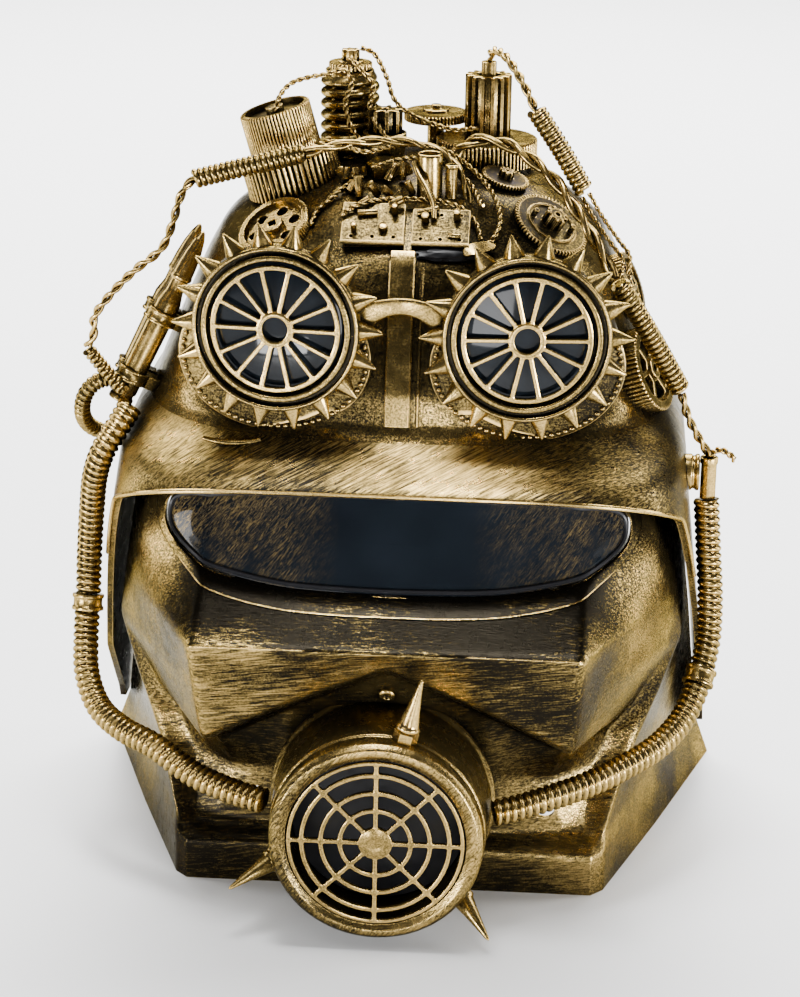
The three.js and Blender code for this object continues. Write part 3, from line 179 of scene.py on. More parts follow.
def calculate(tree, operation, first, second=0.0, third=0.0, clamp=False):
    inputs = {0: first, 1: second, 2: third}
    return add_node(tree, "ShaderNodeMath", inputs, operation=operation, use_clamp=clamp).outputs[0]


def remap(tree, value, low, high, to_low=0.0, to_high=1.0):
    inputs = {"Value": value, "From Min": low, "From Max": high, "To Min": to_low, "To Max": to_high}
    return add_node(tree, "ShaderNodeMapRange", inputs, clamp=True).outputs[0]


def blend_colours(tree, share, first, second):
    inputs = {0: share, 6: first, 7: second}
    return add_node(tree, "ShaderNodeMix", inputs, data_type="RGBA").outputs[2]


def noise(tree, scale, detail=3.0, roughness=0.55, stretch=(1, 1, 1), turn=(0, 0, 0), swirl=0.0):
    """Noise in object space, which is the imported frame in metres, stretched along turned axes."""
    place = add_node(tree, "ShaderNodeTexCoord").outputs["Object"]
    turned = add_node(tree, "ShaderNodeMapping", {0: place, 2: turn})
    mapped = add_node(tree, "ShaderNodeMapping", {0: turned.outputs[0], 3: stretch})
    inputs = {"Vector": mapped.outputs[0], "Scale": scale, "Detail": detail, "Roughness": roughness,
              "Distortion": swirl}
    return add_node(tree, "ShaderNodeTexNoise", inputs).outputs[0]


# %% The gold finish
DARK_PAINT = (0.009, 0.0075, 0.005, 1)
BRONZE = (0.2, 0.14, 0.042, 1)
PALE_GOLD = (0.82, 0.55, 0.18, 1)
# Edge width, then the reach of the small occlusion darkening (unbrushed hollows and painted shade) and of the
# large one (painted shade under the brow and the goggles).
EDGE_WIDTH, SMALL_HOLLOW, LARGE_SHADE_REACH = 0.0007, 0.004, 0.07
PATCH_SCALE, STROKE_SCALE, SPECKLE_SCALE, GLOSS_SCALE = 18, 70, 1300, 200
DARK_TO_WARM, WARM_TO_PALE, METAL_RANGE = (0.08, 0.42), (0.35, 0.95), (0.75, 0.98)
# Painted shade under the brow: how much gold is taken from upward faces, and the heights in metres over which
# it sets in.
BROW_SHADE_STRENGTH, VISOR_SHADE_LEVELS = 0.42, (0.107, 0.122)
PAINT_GLOSS, GRAZING_TINT = 0.15, (0.46, 0.44, 0.36, 1)


def dry_brushed(name, cover, patches, strokes, speckle, edges=0.0, turn=(0, 0, 0), long=24,
                shine=(0.16, 0.32), shade=None, hollow=(0.25, 0.8), deep=False):
    """Dark paint with a mean share of gold, and how far patches, strokes, speckle and edges change it.
    Occlusion darkens hollows, partly unbrushed paint and partly painted shade; deep and shade add painted
    shade.
    """
    material = bpy.data.materials.new(name)
    material.use_nodes = True
    tree = material.node_tree
    shader = tree.nodes["Principled BSDF"]
    shader.inputs["Specular IOR Level"].default_value = PAINT_GLOSS
    shader.inputs["Specular Tint"].default_value = GRAZING_TINT
    normal = add_node(tree, "ShaderNodeNewGeometry").outputs["Normal"]
    broad = remap(tree, noise(tree, PATCH_SCALE, 3), 0.34, 0.66, -0.5, 0.5)
    streaks = noise(tree, STROKE_SCALE, 6, 0.72, (1, long, long), turn, 0.35)
    stroke = remap(tree, streaks, 0.38, 0.62, -0.5, 0.5)
    grain = remap(tree, noise(tree, SPECKLE_SCALE, 3, 0.8), 0.38, 0.62, -0.5, 0.5)
    share = calculate(tree, "MULTIPLY_ADD", broad, patches, cover)
    share = calculate(tree, "MULTIPLY_ADD", stroke, strokes, share)
    share = calculate(tree, "MULTIPLY_ADD", grain, speckle, share)
    if edges:
        rounded = add_node(tree, "ShaderNodeBevel", {"Radius": EDGE_WIDTH}, samples=3).outputs[0]
        dot = add_node(tree, "ShaderNodeVectorMath", {0: rounded, 1: normal}, operation="DOT_PRODUCT")
        edge = remap(tree, dot.outputs["Value"], 0.995, 0.9)
        share = calculate(tree, "MULTIPLY_ADD", edge, edges, share)
    # Painted shade: upward faces from the height of the visor slope up lose gold, standing in for the shade
    # under the brow.
    if shade:
        place = add_node(tree, "ShaderNodeTexCoord").outputs["Object"]
        level = remap(tree, add_node(tree, "ShaderNodeSeparateXYZ", {0: place}).outputs["Z"], *shade)
        facing_up = remap(tree, add_node(tree, "ShaderNodeSeparateXYZ", {0: normal}).outputs["Z"], 0.55, 0.8)
        painted_brow_shade = calculate(tree, "MULTIPLY", level, facing_up)
        share = calculate(tree, "MULTIPLY_ADD", painted_brow_shade, -BROW_SHADE_STRENGTH, share)
    # Occlusion darkening: the small reach is partly unbrushed paint in recesses and partly painted shade;
    # with deep, the large reach is painted shade under the brow and the goggles.
    hollows = [(SMALL_HOLLOW, 0.05, hollow)]
    if deep:
        hollows.append((LARGE_SHADE_REACH, 0.25, (0.25, 0.8)))
    for reach, darkest, span in hollows:
        air = add_node(tree, "ShaderNodeAmbientOcclusion", {"Distance": reach}, samples=4).outputs["AO"]
        share = calculate(tree, "MULTIPLY", share, remap(tree, air, *span, darkest, 1.0), clamp=True)
    warm = blend_colours(tree, remap(tree, share, *WARM_TO_PALE), BRONZE, PALE_GOLD)
    colour = blend_colours(tree, remap(tree, share, *DARK_TO_WARM), DARK_PAINT, warm)
    tree.links.new(colour, shader.inputs["Base Color"])
    tree.links.new(remap(tree, share, 0.0, 0.5, *METAL_RANGE), shader.inputs["Metallic"])
    tree.links.new(remap(tree, noise(tree, GLOSS_SCALE, 3), 0.3, 0.7, *shine), shader.inputs["Roughness"])
    height = calculate(tree, "MULTIPLY", stroke, strokes)
    bump = add_node(tree, "ShaderNodeBump", {"Strength": 0.2, "Distance": 0.0002, "Height": height})
    tree.links.new(bump.outputs[0], shader.inputs["Normal"])
    return material


LEAN = (0, 0.35, -0.51)
# Spans of the small occlusion darkening in grooves and in wheels, partly painted shade.
GROOVES = (0.5, 0.95)
WHEELS = (0.35, 0.85)
# The large pieces take deep=True, the painted shade from the brow and the goggles.
hood_gold = dry_brushed("hood_gold", cover=0.28, patches=0.5, strokes=0.65, speckle=0.12, edges=0.8,
                        turn=LEAN, shine=(0.24, 0.38), deep=True)
dome_gold = dry_brushed("dome_gold", cover=0.24, patches=0.4, strokes=0.2, speckle=0.6, edges=0.8, deep=True)
plate_gold = dry_brushed("plate_gold", cover=0.24, patches=0.6, strokes=0.65, speckle=0.25, edges=1.2,
                         turn=(0, 0.12, 0.1), long=20, shade=VISOR_SHADE_LEVELS, deep=True)
filter_gold = dry_brushed("filter_gold", cover=0.38, patches=0.4, strokes=0.55, speckle=0.25, edges=1.0,
                          turn=(0, 0.9, 0.3), deep=True)
clockwork_gold = dry_brushed("clockwork_gold", cover=0.38, patches=0.3, strokes=0.1, speckle=0.35, edges=0.7,
                             hollow=GROOVES)
bright_gold = dry_brushed("bright_gold", cover=0.48, patches=0.3, strokes=0.1, speckle=0.3, edges=0.6,
                          hollow=WHEELS)
polished_gold = dry_brushed("polished_gold", cover=0.5, patches=0.35, strokes=0.15, speckle=0.3,
                            turn=(0, 0.3, 0), hollow=(0.3, 0.8))
wire_gold = dry_brushed("wire_gold", cover=0.6, patches=0.3, strokes=0.1, speckle=0.2, hollow=WHEELS)
hose_gold = dry_brushed("hose_gold", cover=0.54, patches=0.35, strokes=0.1, speckle=0.2, hollow=GROOVES)
ring_gold = dry_brushed("ring_gold", cover=0.3, patches=0.25, strokes=0.1, speckle=0.35, edges=1.0,
                        hollow=GROOVES)
base_bronze = dry_brushed("base_bronze", cover=0.14, patches=0.35, strokes=0.2, speckle=0.4, edges=0.9,
                          shine=(0.3, 0.45))
print("finishes:", len(bpy.data.materials))


# %% [markdown]
# The lenses and the dark plates behind the grille are plain black gloss. The visor also carries a few stray
# strokes of gold at its ends, where the brush ran over from the frame round it.

# %% Dark finishes
LENS_BLACK = (0.004, 0.0055, 0.0075, 1)
LENS_GLOSS, LENS_HAZE, LENS_PALER = 0.2, 0.03, 1.6


def gloss_black(name, colour=LENS_BLACK, roughness=0.03):
    material = bpy.data.materials.new(name)
    material.use_nodes = True
    shader = material.node_tree.nodes["Principled BSDF"]
    shader.inputs["Specular IOR Level"].default_value = LENS_GLOSS
    tree = material.node_tree
    haze = remap(tree, noise(tree, 60, 3), 0.35, 0.7, roughness, roughness + LENS_HAZE)
    paler = tuple(value * LENS_PALER for value in colour)
    tint = blend_colours(tree, remap(tree, noise(tree, 30, 2), 0.3, 0.7), colour, paler)
    tree.links.new(haze, shader.inputs["Roughness"])
    tree.links.new(tint, shader.inputs["Base Color"])
    return material


def visor_black(name):
    material = gloss_black(name)
    tree = material.node_tree
    shader = tree.nodes["Principled BSDF"]
    place = add_node(tree, "ShaderNodeTexCoord").outputs["Object"]
    across = add_node(tree, "ShaderNodeSeparateXYZ", {0: place}).outputs["X"]
    left_end = remap(tree, across, -0.02, -0.085)
    right_end = remap(tree, across, 0.03, 0.1, 0.0, 0.8)
    strokes = remap(tree, noise(tree, 210, 8, 0.85, (1, 1, 7), (0, 0.9, 0), 1.2), 0.5, 0.72)
    broad = remap(tree, noise(tree, 34, 4), 0.36, 0.6)
    ends = calculate(tree, "ADD", left_end, right_end)
    share = calculate(tree, "MULTIPLY", calculate(tree, "MULTIPLY", strokes, broad), ends, clamp=True)
    dark = shader.inputs["Base Color"].links[0].from_socket
    tree.links.new(blend_colours(tree, share, dark, PALE_GOLD), shader.inputs["Base Color"])
    tree.links.new(remap(tree, share, 0.0, 0.6, 0.0, 0.85), shader.inputs["Metallic"])
    haze = shader.inputs["Roughness"].links[0].from_socket
    rough = calculate(tree, "ADD", haze, calculate(tree, "MULTIPLY", share, 0.3))
    tree.links.new(rough, shader.inputs["Roughness"])
    return material


lens_black = gloss_black("lens_black")
visor_finish = visor_black("visor_finish")
recess_black = gloss_black("recess_black", (0.008, 0.008, 0.009, 1), 0.3)
FLOOR_PALE, FLOOR_SHADE = (0.9, 0.9, 0.9, 1), (0.87, 0.87, 0.87, 1)
floor_paint = bpy.data.materials.new("floor_paint")
floor_paint.use_nodes = True
floor_tree = floor_paint.node_tree
floor_colour = blend_colours(floor_tree, noise(floor_tree, 3, 1), FLOOR_PALE, FLOOR_SHADE)
floor_tree.links.new(floor_colour, floor_tree.nodes["Principled BSDF"].inputs["Base Color"])
floor_tree.nodes["Principled BSDF"].inputs["Roughness"].default_value = 0.6
floor_mesh.materials.append(floor_paint)

# %% [markdown]
# ## Building blocks
# Nearly every piece here is turned on a lathe, bent from tube or wire, or cut from sheet. So three small
# makers do most of the work: one spins a profile, one sweeps a ring along a route, and one cuts a flat
# outline with holes. Each gives a form, which is a list of points and a list of faces. Forms can be moved
# by a matrix and joined before one of them becomes an object.

# %% Forms


def placed(form, matrix):
    points, faces = form
    return [matrix @ Vector(point) for point in points], faces


def lifted(form, height):
    return placed(form, Matrix.Translation((0, 0, height)))


def raised(matrix, height):
    """The frame moved along its own Z."""
    return matrix @ Matrix.Translation((0, 0, height))


def joined(*forms):
    points, faces = [], []
    for form_points, form_faces in forms:
        start = len(points)
        points.extend(form_points)
        faces.extend(tuple(start + k for k in face) for face in form_faces)
    return points, faces


def skinned(rings, ends=True, loop=False):
    """Skin over rings of points, each ring closed, with flat ends or closed on itself."""
    size = len(rings[0])
    points = [Vector(point) for ring in rings for point in ring]
    faces = []
    last = len(rings) if loop else len(rings) - 1
    for r in range(last):
        here, there = r * size, ((r + 1) % len(rings)) * size
        for k in range(size):
            after = (k + 1) % size
            faces.append((here + k, here + after, there + after, there + k))
    if ends and not loop:
        faces.append(tuple(reversed(range(size))))
        faces.append(tuple(range(len(points) - size, len(points))))
    return points, faces


def lathe(profile, sides=64):
    """Solid of revolution about +Z from [radius, height] pairs that start and end on the axis, or closed."""
    closed = profile[0][0] > 0
    points, rows = [], []
    for radius, height in profile:
        if radius <= 0:
            rows.append([len(points)])
            points.append(Vector((0, 0, height)))
            continue
        rows.append(list(range(len(points), len(points) + sides)))
        for k in range(sides):
            angle = TURN * k / sides
            points.append(Vector((radius * math.cos(angle), radius * math.sin(angle), height)))
    faces = []
    pairs = list(zip(rows, rows[1:] + rows[:1])) if closed else list(zip(rows, rows[1:]))
    for low, high in pairs:
        for k in range(sides):
            after = (k + 1) % sides
            corners = [low[k % len(low)], low[after % len(low)], high[after % len(high)], high[k % len(high)]]
            face = tuple(dict.fromkeys(corners))
            if len(face) > 2:
                faces.append(face)
    return points, faces


def softened(profile, radius, steps=3, loop=False):
    """A profile with its corners rounded, so that every edge catches the light."""
    count = len(profile)
    result = []
    for i, corner in enumerate(profile):
        if not loop and i in (0, count - 1):
            result.append(tuple(corner))
            continue
        here = Vector(corner)
        before, after = Vector(profile[i - 1]), Vector(profile[(i + 1) % count])
        start = here + (before - here).normalized() * min(radius, 0.45 * (before - here).length)
        end = here + (after - here).normalized() * min(radius, 0.45 * (after - here).length)
        for k in range(steps + 1):
            t = k / steps
            point = start * (1 - t) ** 2 + here * 2 * t * (1 - t) + end * t ** 2
            result.append(tuple(point))
    return result


def sheet_cut(outline, holes, thickness, bevel=0.25):
    """Flat sheet with holes and rounded edges, its top at z = 0, from lists of [x, y]."""
    curve = bpy.data.curves.new("cut", "CURVE")
    curve.dimensions = "2D"
    curve.fill_mode = "BOTH"
    curve.extrude = thickness / 2 - bevel
    curve.bevel_depth = bevel
    curve.bevel_resolution = 1
    curve.offset = -bevel
    for loop in [outline, *holes]:
        spline = curve.splines.new("POLY")
        spline.points.add(len(loop) - 1)
        for k, (x, y) in enumerate(loop):
            spline.points[k].co = (x, y, 0, 1)
        spline.use_cyclic_u = True
    maker = bpy.data.objects.new("cut", curve)
    bpy.context.scene.collection.objects.link(maker)
    flat = bpy.data.meshes.new_from_object(maker.evaluated_get(bpy.context.evaluated_depsgraph_get()))
    points = [vertex.co - Vector((0, 0, thickness / 2)) for vertex in flat.vertices]
    faces = [tuple(face.vertices) for face in flat.polygons]
    bpy.data.objects.remove(maker)
    bpy.data.curves.remove(curve)
    bpy.data.meshes.remove(flat)
    return points, faces


def circle(radius, sides=48, centre=(0, 0)):
    turns = [TURN * k / sides for k in range(sides)]
    return [(centre[0] + radius * math.cos(a), centre[1] + radius * math.sin(a)) for a in turns]


def toothed(radius, teeth, depth, share=0.5):
    """Outline of a gear with square-cut teeth, share of the pitch being tooth."""
    points = []
    for k in range(teeth):
        for place, reach in ((-share, -depth), (-share * 0.62, 0), (share * 0.62, 0), (share, -depth)):
            angle = TURN * (k + place / 2) / teeth
            points.append(((radius + reach) * math.cos(angle), (radius + reach) * math.sin(angle)))
    return points


# %% [markdown]
# Hoses and wires follow a few chosen points. A smooth curve goes through them, and it is cut into equal
# steps. At each step a ring is set square to the curve. The ring's frame is carried from step to step
# without twisting, so that ribs and strands stay even.

# %% Routes and sweeps


def smooth_route(route, step):
    """Equal steps on a centripetal curve through the route's points."""
    points = np.array(route, float)
    padded = np.vstack([2 * points[0] - points[1], points, 2 * points[-1] - points[-2]])
    share = np.linspace(0, 1, 40, endpoint=False)[:, None]
    fine = []
    for before, start, end, after in zip(padded, padded[1:], padded[2:], padded[3:]):
        d0, d1, d2 = (np.linalg.norm(b - a) ** 0.5 for a, b in ((before, start), (start, end), (end, after)))
        out = ((start - before) / d0 - (end - before) / (d0 + d1) + (end - start) / d1) * d1
        into = ((end - start) / d1 - (after - start) / (d1 + d2) + (after - end) / d2) * d1
        run = end - start
        fine.append(start + out * share + (3 * run - 2 * out - into) * share ** 2
                    + (out + into - 2 * run) * share ** 3)
    fine = np.vstack([*fine, points[-1:]])
    along = np.concatenate([[0], np.cumsum(np.linalg.norm(np.diff(fine, axis=0), axis=1))])
    count = max(2, int(round(along[-1] / step)) + 1)
    even = np.linspace(0, along[-1], count)
    return [Vector([np.interp(d, along, fine[:, axis]) for axis in range(3)]) for d in even]


def carried_frames(points):
    """For each point, the two directions across the route, carried along without twist."""
    count = len(points)
    tangents = [(points[min(k + 1, count - 1)] - points[max(k - 1, 0)]).normalized() for k in range(count)]
    side = tangents[0].orthogonal().normalized()
    frames = []
    for tangent in tangents:
        side = (side - tangent * side.dot(tangent)).normalized()
        frames.append((side, tangent.cross(side)))
    return frames


def swept(points, reach, sides):
    """Tube whose radius is reach(distance along, angle)."""
    rings = []
    along = 0.0
    for k, (point, (side, other)) in enumerate(zip(points, carried_frames(points))):
        if k:
            along += (point - points[k - 1]).length
        ring = []
        for j in range(sides):
            angle = TURN * j / sides
            radius = reach(along, angle)
            ring.append(point + side * radius * math.cos(angle) + other * radius * math.sin(angle))
        rings.append(ring)
    return skinned(rings)


def ribbed_hose(route, radius, pitch, groove=0.24, sides=24, steps=8):
    """Hose with a rib that winds round it."""
    def reach(along, angle):
        return radius * (1 - groove * (1 - abs(math.sin(math.pi * (along / pitch + angle / TURN))) ** 0.8))
    return swept(smooth_route(route, pitch / steps), reach, sides)


def plain_wire(route, radius, sides=8, step=1.2):
    return swept(smooth_route(route, step), lambda along, angle: radius, sides)


def twisted_wire(route, strand, pitch=5.6, strands=2, sides=7):
    """Strands twisted round each other along the route."""
    step = pitch / 10
    points = smooth_route(route, step)
    frames = carried_frames(points)
    forms = []
    for s in range(strands):
        centre = []
        for k, (point, (side, other)) in enumerate(zip(points, frames)):
            angle = TURN * (k * step / pitch + s / strands)
            centre.append(point + (side * math.cos(angle) + other * math.sin(angle)) * strand * 1.02)
        forms.append(swept(centre, lambda along, angle: strand, sides))
    return joined(*forms)


def wound_coil(route, radius, wire, spacing=0.99, sides=10):
    """Wire wound closely round the route."""
    pitch = 2 * wire * spacing
    step = pitch / 16
    points = smooth_route(route, step)
    centre = []
    for k, (point, (side, other)) in enumerate(zip(points, carried_frames(points))):
        angle = TURN * k * step / pitch
        centre.append(point + (side * math.cos(angle) + other * math.sin(angle)) * (radius - wire))
    return swept(centre, lambda along, angle: wire, sides)


# %% [markdown]
# A form becomes an object at the origin, with its points in metres. Its faces are made to point outwards.
# Every edge sharper than a set angle is marked, so that curves look smooth and corners stay crisp. Solids
# that need a cut use Blender's Boolean modifier, applied at once.

# %% From forms to pieces
CREASE = 34


def mesh_of(name, form, crease=CREASE):
    points, faces = form
    mesh = bpy.data.meshes.new(name)
    mesh.from_pydata([tuple(TO_FRAME @ Vector(point)) for point in points], [], faces)
    work = bmesh.new()
    work.from_mesh(mesh)
    bmesh.ops.recalc_face_normals(work, faces=work.faces)
    mark_creases(work, crease)
    work.to_mesh(mesh)
    work.free()
    return mesh


def mark_creases(work, crease):
    for face in work.faces:
        face.smooth = True
    for edge in work.edges:
        edge.smooth = edge.is_manifold and edge.calc_face_angle(0) < math.radians(crease)


def cut_mesh(name, mesh, cutters, crease=CREASE):
    """The mesh after cuts, each cutter being a mesh and DIFFERENCE, INTERSECT or UNION."""
    target = bpy.data.objects.new(name, mesh)
    bpy.context.scene.collection.objects.link(target)
    helpers = []
    for cutter, operation in cutters:
        helper = bpy.data.objects.new("cutter", cutter)
        bpy.context.scene.collection.objects.link(helper)
        helpers.append(helper)
        boolean = target.modifiers.new("cut", "BOOLEAN")
        boolean.operation = operation
        boolean.object = helper
        boolean.solver = "MANIFOLD"
    result = bpy.data.meshes.new_from_object(target.evaluated_get(bpy.context.evaluated_depsgraph_get()))
    for item in [target, *helpers]:
        bpy.data.objects.remove(item)
    work = bmesh.new()
    work.from_mesh(result)
    bmesh.ops.remove_doubles(work, verts=work.verts, dist=2e-6)
    bmesh.ops.dissolve_degenerate(work, dist=1e-6, edges=work.edges)
    mark_creases(work, crease)
    work.to_mesh(result)
    work.free()
    result.name = name
    return result


def add_piece(name, mesh, finish, slot, *stands_for):
    """An object that rides on the mask and, if told so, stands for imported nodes."""
    piece = bpy.data.objects.new(name, mesh)
    bpy.context.scene.collection.objects.link(piece)
    mesh.materials.clear()
    mesh.materials.append(finish)
    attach(piece, "root")
    if stands_for:
        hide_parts(*stands_for)
    return piece


def add_form(name, form, finish, slot, *stands_for, crease=CREASE):
    return add_piece(name, mesh_of(name, form, crease), finish, slot, *stands_for)


# %% [markdown]
# ## The surface of the shell
# The helmet is one deep moulding. Its level sections are superellipses: nearly square at the jaw and round
# at the crown. One table gives their sizes as shares of the shell's height, half width and depth. The same
# table tells where a gear on the dome stands and which way it leans.

# %% Shell surface
SHELL_WALL = 2.5
SHELL_SECTIONS = [
    {"level": -0.018, "width": 1.0, "front": 0.966, "back": 0.819, "power": 5.0},
    {"level": 0.241, "width": 0.95, "front": 0.983, "back": 0.828, "power": 5.0},
    {"level": 0.547, "width": 0.869, "front": 1.0, "back": 0.836, "power": 5.0},
    {"level": 0.617, "width": 0.854, "front": 0.974, "back": 0.828, "power": 4.2},
    {"level": 0.65, "width": 0.823, "front": 0.845, "back": 0.81, "power": 3.2},
    {"level": 0.679, "width": 0.785, "front": 0.759, "back": 0.793, "power": 2.7},
    {"level": 0.734, "width": 0.738, "front": 0.746, "back": 0.776, "power": 2.6},
    {"level": 0.858, "width": 0.627, "front": 0.655, "back": 0.69, "power": 2.5},
    {"level": 0.905, "width": 0.573, "front": 0.591, "back": 0.638, "power": 2.4},
    {"level": 0.967, "width": 0.4, "front": 0.414, "back": 0.474, "power": 2.3},
    {"level": 0.985, "width": 0.285, "front": 0.293, "back": 0.345, "power": 2.2},
    {"level": 1.0, "width": 0.02, "front": 0.02, "back": 0.02, "power": 2.0},
]
HOOD_EDGE = [
    {"depth": 1.466, "level": 0.723},
    {"depth": 0.966, "level": 0.617},
    {"depth": 0.672, "level": 0.555},
    {"depth": 0.172, "level": 0.241},
    {"depth": -0.25, "level": 0.095},
    {"depth": -0.31, "level": 0.066},
    {"depth": -1.2, "level": 0.066},
]
BACK_CUT_LOW, BACK_CUT_TOP = 43, 68
LEVELS = [row["level"] for row in SHELL_SECTIONS]
CROWN_FOOT = 0.85


def squared(value, power):
    """A cosine or sine, bent so that the round it belongs to turns squarer as the power grows."""
    return math.copysign(abs(value) ** (2 / power), value)


def table_values(share):
    """Width, front, back and power from the table at a share of the height."""
    keys = ("width", "front", "back", "power")
    return [float(np.interp(share, LEVELS, [row[key] for row in SHELL_SECTIONS])) for key in keys]


def section_at(level):
    """Half width, front, back and power of the section at a height in mm."""
    width, front, back, power = table_values(level / SHELL_HEIGHT)
    return width * SHELL_HALF_WIDTH, front * SHELL_DEPTH, back * SHELL_DEPTH, power


def shell_side(x, y, z):
    """Below zero inside the shell's outer surface."""
    if z >= SHELL_HEIGHT:
        return 1.0
    width, front, back, power = section_at(z)
    return (abs(x) / width) ** power + (abs(y) / (front if y < 0 else back)) ** power - 1


def shell_normal(point):
    slopes = []
    for axis in range(3):
        ahead, behind = point.copy(), point.copy()
        ahead[axis] += GAP
        behind[axis] -= GAP
        slopes.append(shell_side(*ahead) - shell_side(*behind))
    return Vector(slopes).normalized()


def halve(low, high, inside):
    for _ in range(36):
        middle = (low + high) / 2
        low, high = (middle, high) if inside(middle) else (low, middle)
    return low


def dome_top(x, y):
    return Vector((x, y, halve(0.68 * SHELL_HEIGHT, SHELL_HEIGHT, lambda z: shell_side(x, y, z) < 0)))


def dome_side(y, z, side):
    return Vector((side * halve(0, SHELL_HALF_WIDTH, lambda x: shell_side(x, y, z) < 0), y, z))


def frame_at(origin, outward, upward=(0, 0, 1)):
    """Frame whose +Z looks outward and whose +Y is as near as can be to upward."""
    z = Vector(outward).normalized()
    x = Vector(upward).cross(z).normalized()
    return Matrix.Translation(origin) @ Matrix((x, z.cross(x), z)).transposed().to_4x4()


# %% [markdown]
# ## The helmet shell
# The fine shell is skinned through many more sections than the table has. A smooth curve runs through the
# table's rows, but the brow's step keeps its tight bend. The shell is cut hollow, its lower edge is cut to
# the hood's line seen from the side, and its back is cut away where the head goes in.

# %% Helmet shell
SHELL_SIDES, RING_EASE = 128, 0.012
BROW_LOW, BROW_TOP, CROWN_CAP = 0.6, 0.7, 0.99


def eased_section(share):
    """The table's values at a share of the height, averaged over a short stretch to round its corners."""
    around = [table_values(share + RING_EASE * k / 3) for k in range(-3, 4)]
    return [float(np.mean(values)) for values in zip(*around)]


def shell_levels():
    """Shares of the height, closer together round the brow and the crown."""
    even = np.linspace(LEVELS[0], BROW_LOW, 26)
    brow = np.linspace(BROW_LOW, BROW_TOP, 30)[1:]
    dome = 1 - (1 - BROW_TOP) * np.cos(np.linspace(0, math.pi / 2, 46))
    return [*even, *brow, *dome[1:]]


def shell_form(grow, sides=SHELL_SIDES):
    rings = []
    for share in shell_levels():
        width, front, back, power = eased_section(share) if share < CROWN_CAP else table_values(share)
        wide = max(width * SHELL_HALF_WIDTH + grow, GAP)
        height = share * SHELL_HEIGHT + grow * max(0.0, (share - CROWN_FOOT) / (1 - CROWN_FOOT))
        ring = []
        for k in range(sides):
            angle = TURN * k / sides
            c, s = math.cos(angle), math.sin(angle)
            deep = max((front if s < 0 else back) * SHELL_DEPTH + grow, GAP)
            ring.append((wide * squared(c, power), deep * squared(s, power), height))
        rings.append(ring)
    return skinned(rings)


FAR = 3 * SHELL_DEPTH


def side_prism(points):
    """Prism across the whole width from a side view of (y, z) points."""
    wide = 2 * SHELL_HALF_WIDTH
    return skinned([[(-wide, y, z) for y, z in points], [(wide, y, z) for y, z in points]])


def below_hood(drop):
    edge = [(-row["depth"] * SHELL_DEPTH, row["level"] * SHELL_HEIGHT - drop) for row in HOOD_EDGE]
    return side_prism([*edge, (edge[-1][0], -FAR), (edge[0][0], -FAR)])


behind_back = side_prism([
    (BACK_CUT_LOW, 0), (BACK_CUT_LOW, -FAR), (FAR, -FAR), (FAR, 2 * SHELL_HEIGHT),
    (2 * BACK_CUT_TOP - BACK_CUT_LOW, 2 * SHELL_HEIGHT),
])
shell_outer = mesh_of("shell_outer", shell_form(0))
shell_cuts = [
    (mesh_of("shell_inner", shell_form(-SHELL_WALL)), "DIFFERENCE"),
    (mesh_of("below_hood", below_hood(0)), "DIFFERENCE"),
    (mesh_of("behind_back", behind_back), "DIFFERENCE"),
]
shell_mesh = cut_mesh("helmet_shell_moulding", shell_outer, shell_cuts, crease=30)
add_piece("helmet_shell_moulding", shell_mesh, hood_gold, "aged_gold", "helmet_shell")
print("shell faces:", len(shell_mesh.polygons))

# %% [markdown]
# The dome above the brow is sponged with gold, while the brow is brushed. So the shell has two finishes, and
# each face takes the one for its height. Where they meet lies in the bend at the foot of the dome.

# %% Dome finish
DOME_LEVEL = 0.668 * SHELL_HEIGHT * MM
shell_mesh.materials.append(dome_gold)
for face in shell_mesh.polygons:
    face.material_index = 1 if face.center.z > DOME_LEVEL else 0

# %% [markdown]
# The brow ends in a thin rolled lip, which the brush has left bright. It is a wire laid along the cut edge:
# for each angle round the section, the height at which the surface crosses the hood's line is found by
# halving.

# %% Rolled lip of the hood
LIP_RADIUS, LIP_LIFT, LIP_HIGHEST = 0.9, 0.2, 0.66


def hood_line(y):
    ordered = sorted(HOOD_EDGE, key=lambda row: row["depth"])
    return float(np.interp(-y / SHELL_DEPTH, [row["depth"] for row in ordered],
                           [row["level"] * SHELL_HEIGHT for row in ordered]))


def lip_point(angle):
    c, s = math.cos(angle), math.sin(angle)

    def on_surface(z):
        width, front, back, power = section_at(z)
        deep = front if s < 0 else back
        return Vector((width * squared(c, power), deep * squared(s, power), z))

    level = halve(0, LIP_HIGHEST * SHELL_HEIGHT, lambda z: z < hood_line(on_surface(z).y))
    return on_surface(level)


lip_angles = np.linspace(math.radians(-170), math.radians(-10), 150)
lip_points = [lip_point(angle) + Vector((0, 0, LIP_LIFT)) for angle in lip_angles]
add_form("hood_lip", swept(lip_points, lambda along, angle: LIP_RADIUS, 10), bright_gold, "aged_gold")
print("hood lip points:", len(lip_points))

# %% [markdown]
# ## The face plate
# The face below the brow is one folded sheet: a chin wall, a ledge, a muzzle that juts out to a level ridge,
# a tray for the visor and flat bars down both sides. The table gives each fold line as shares of the
# plate's half width, depth and height, from the centre outwards: centre, inner, corner, cheek, bar, side and
# back. Between the folds the sheet is divided finely and then smoothed a little, as the paint and the mould
# round every fold.

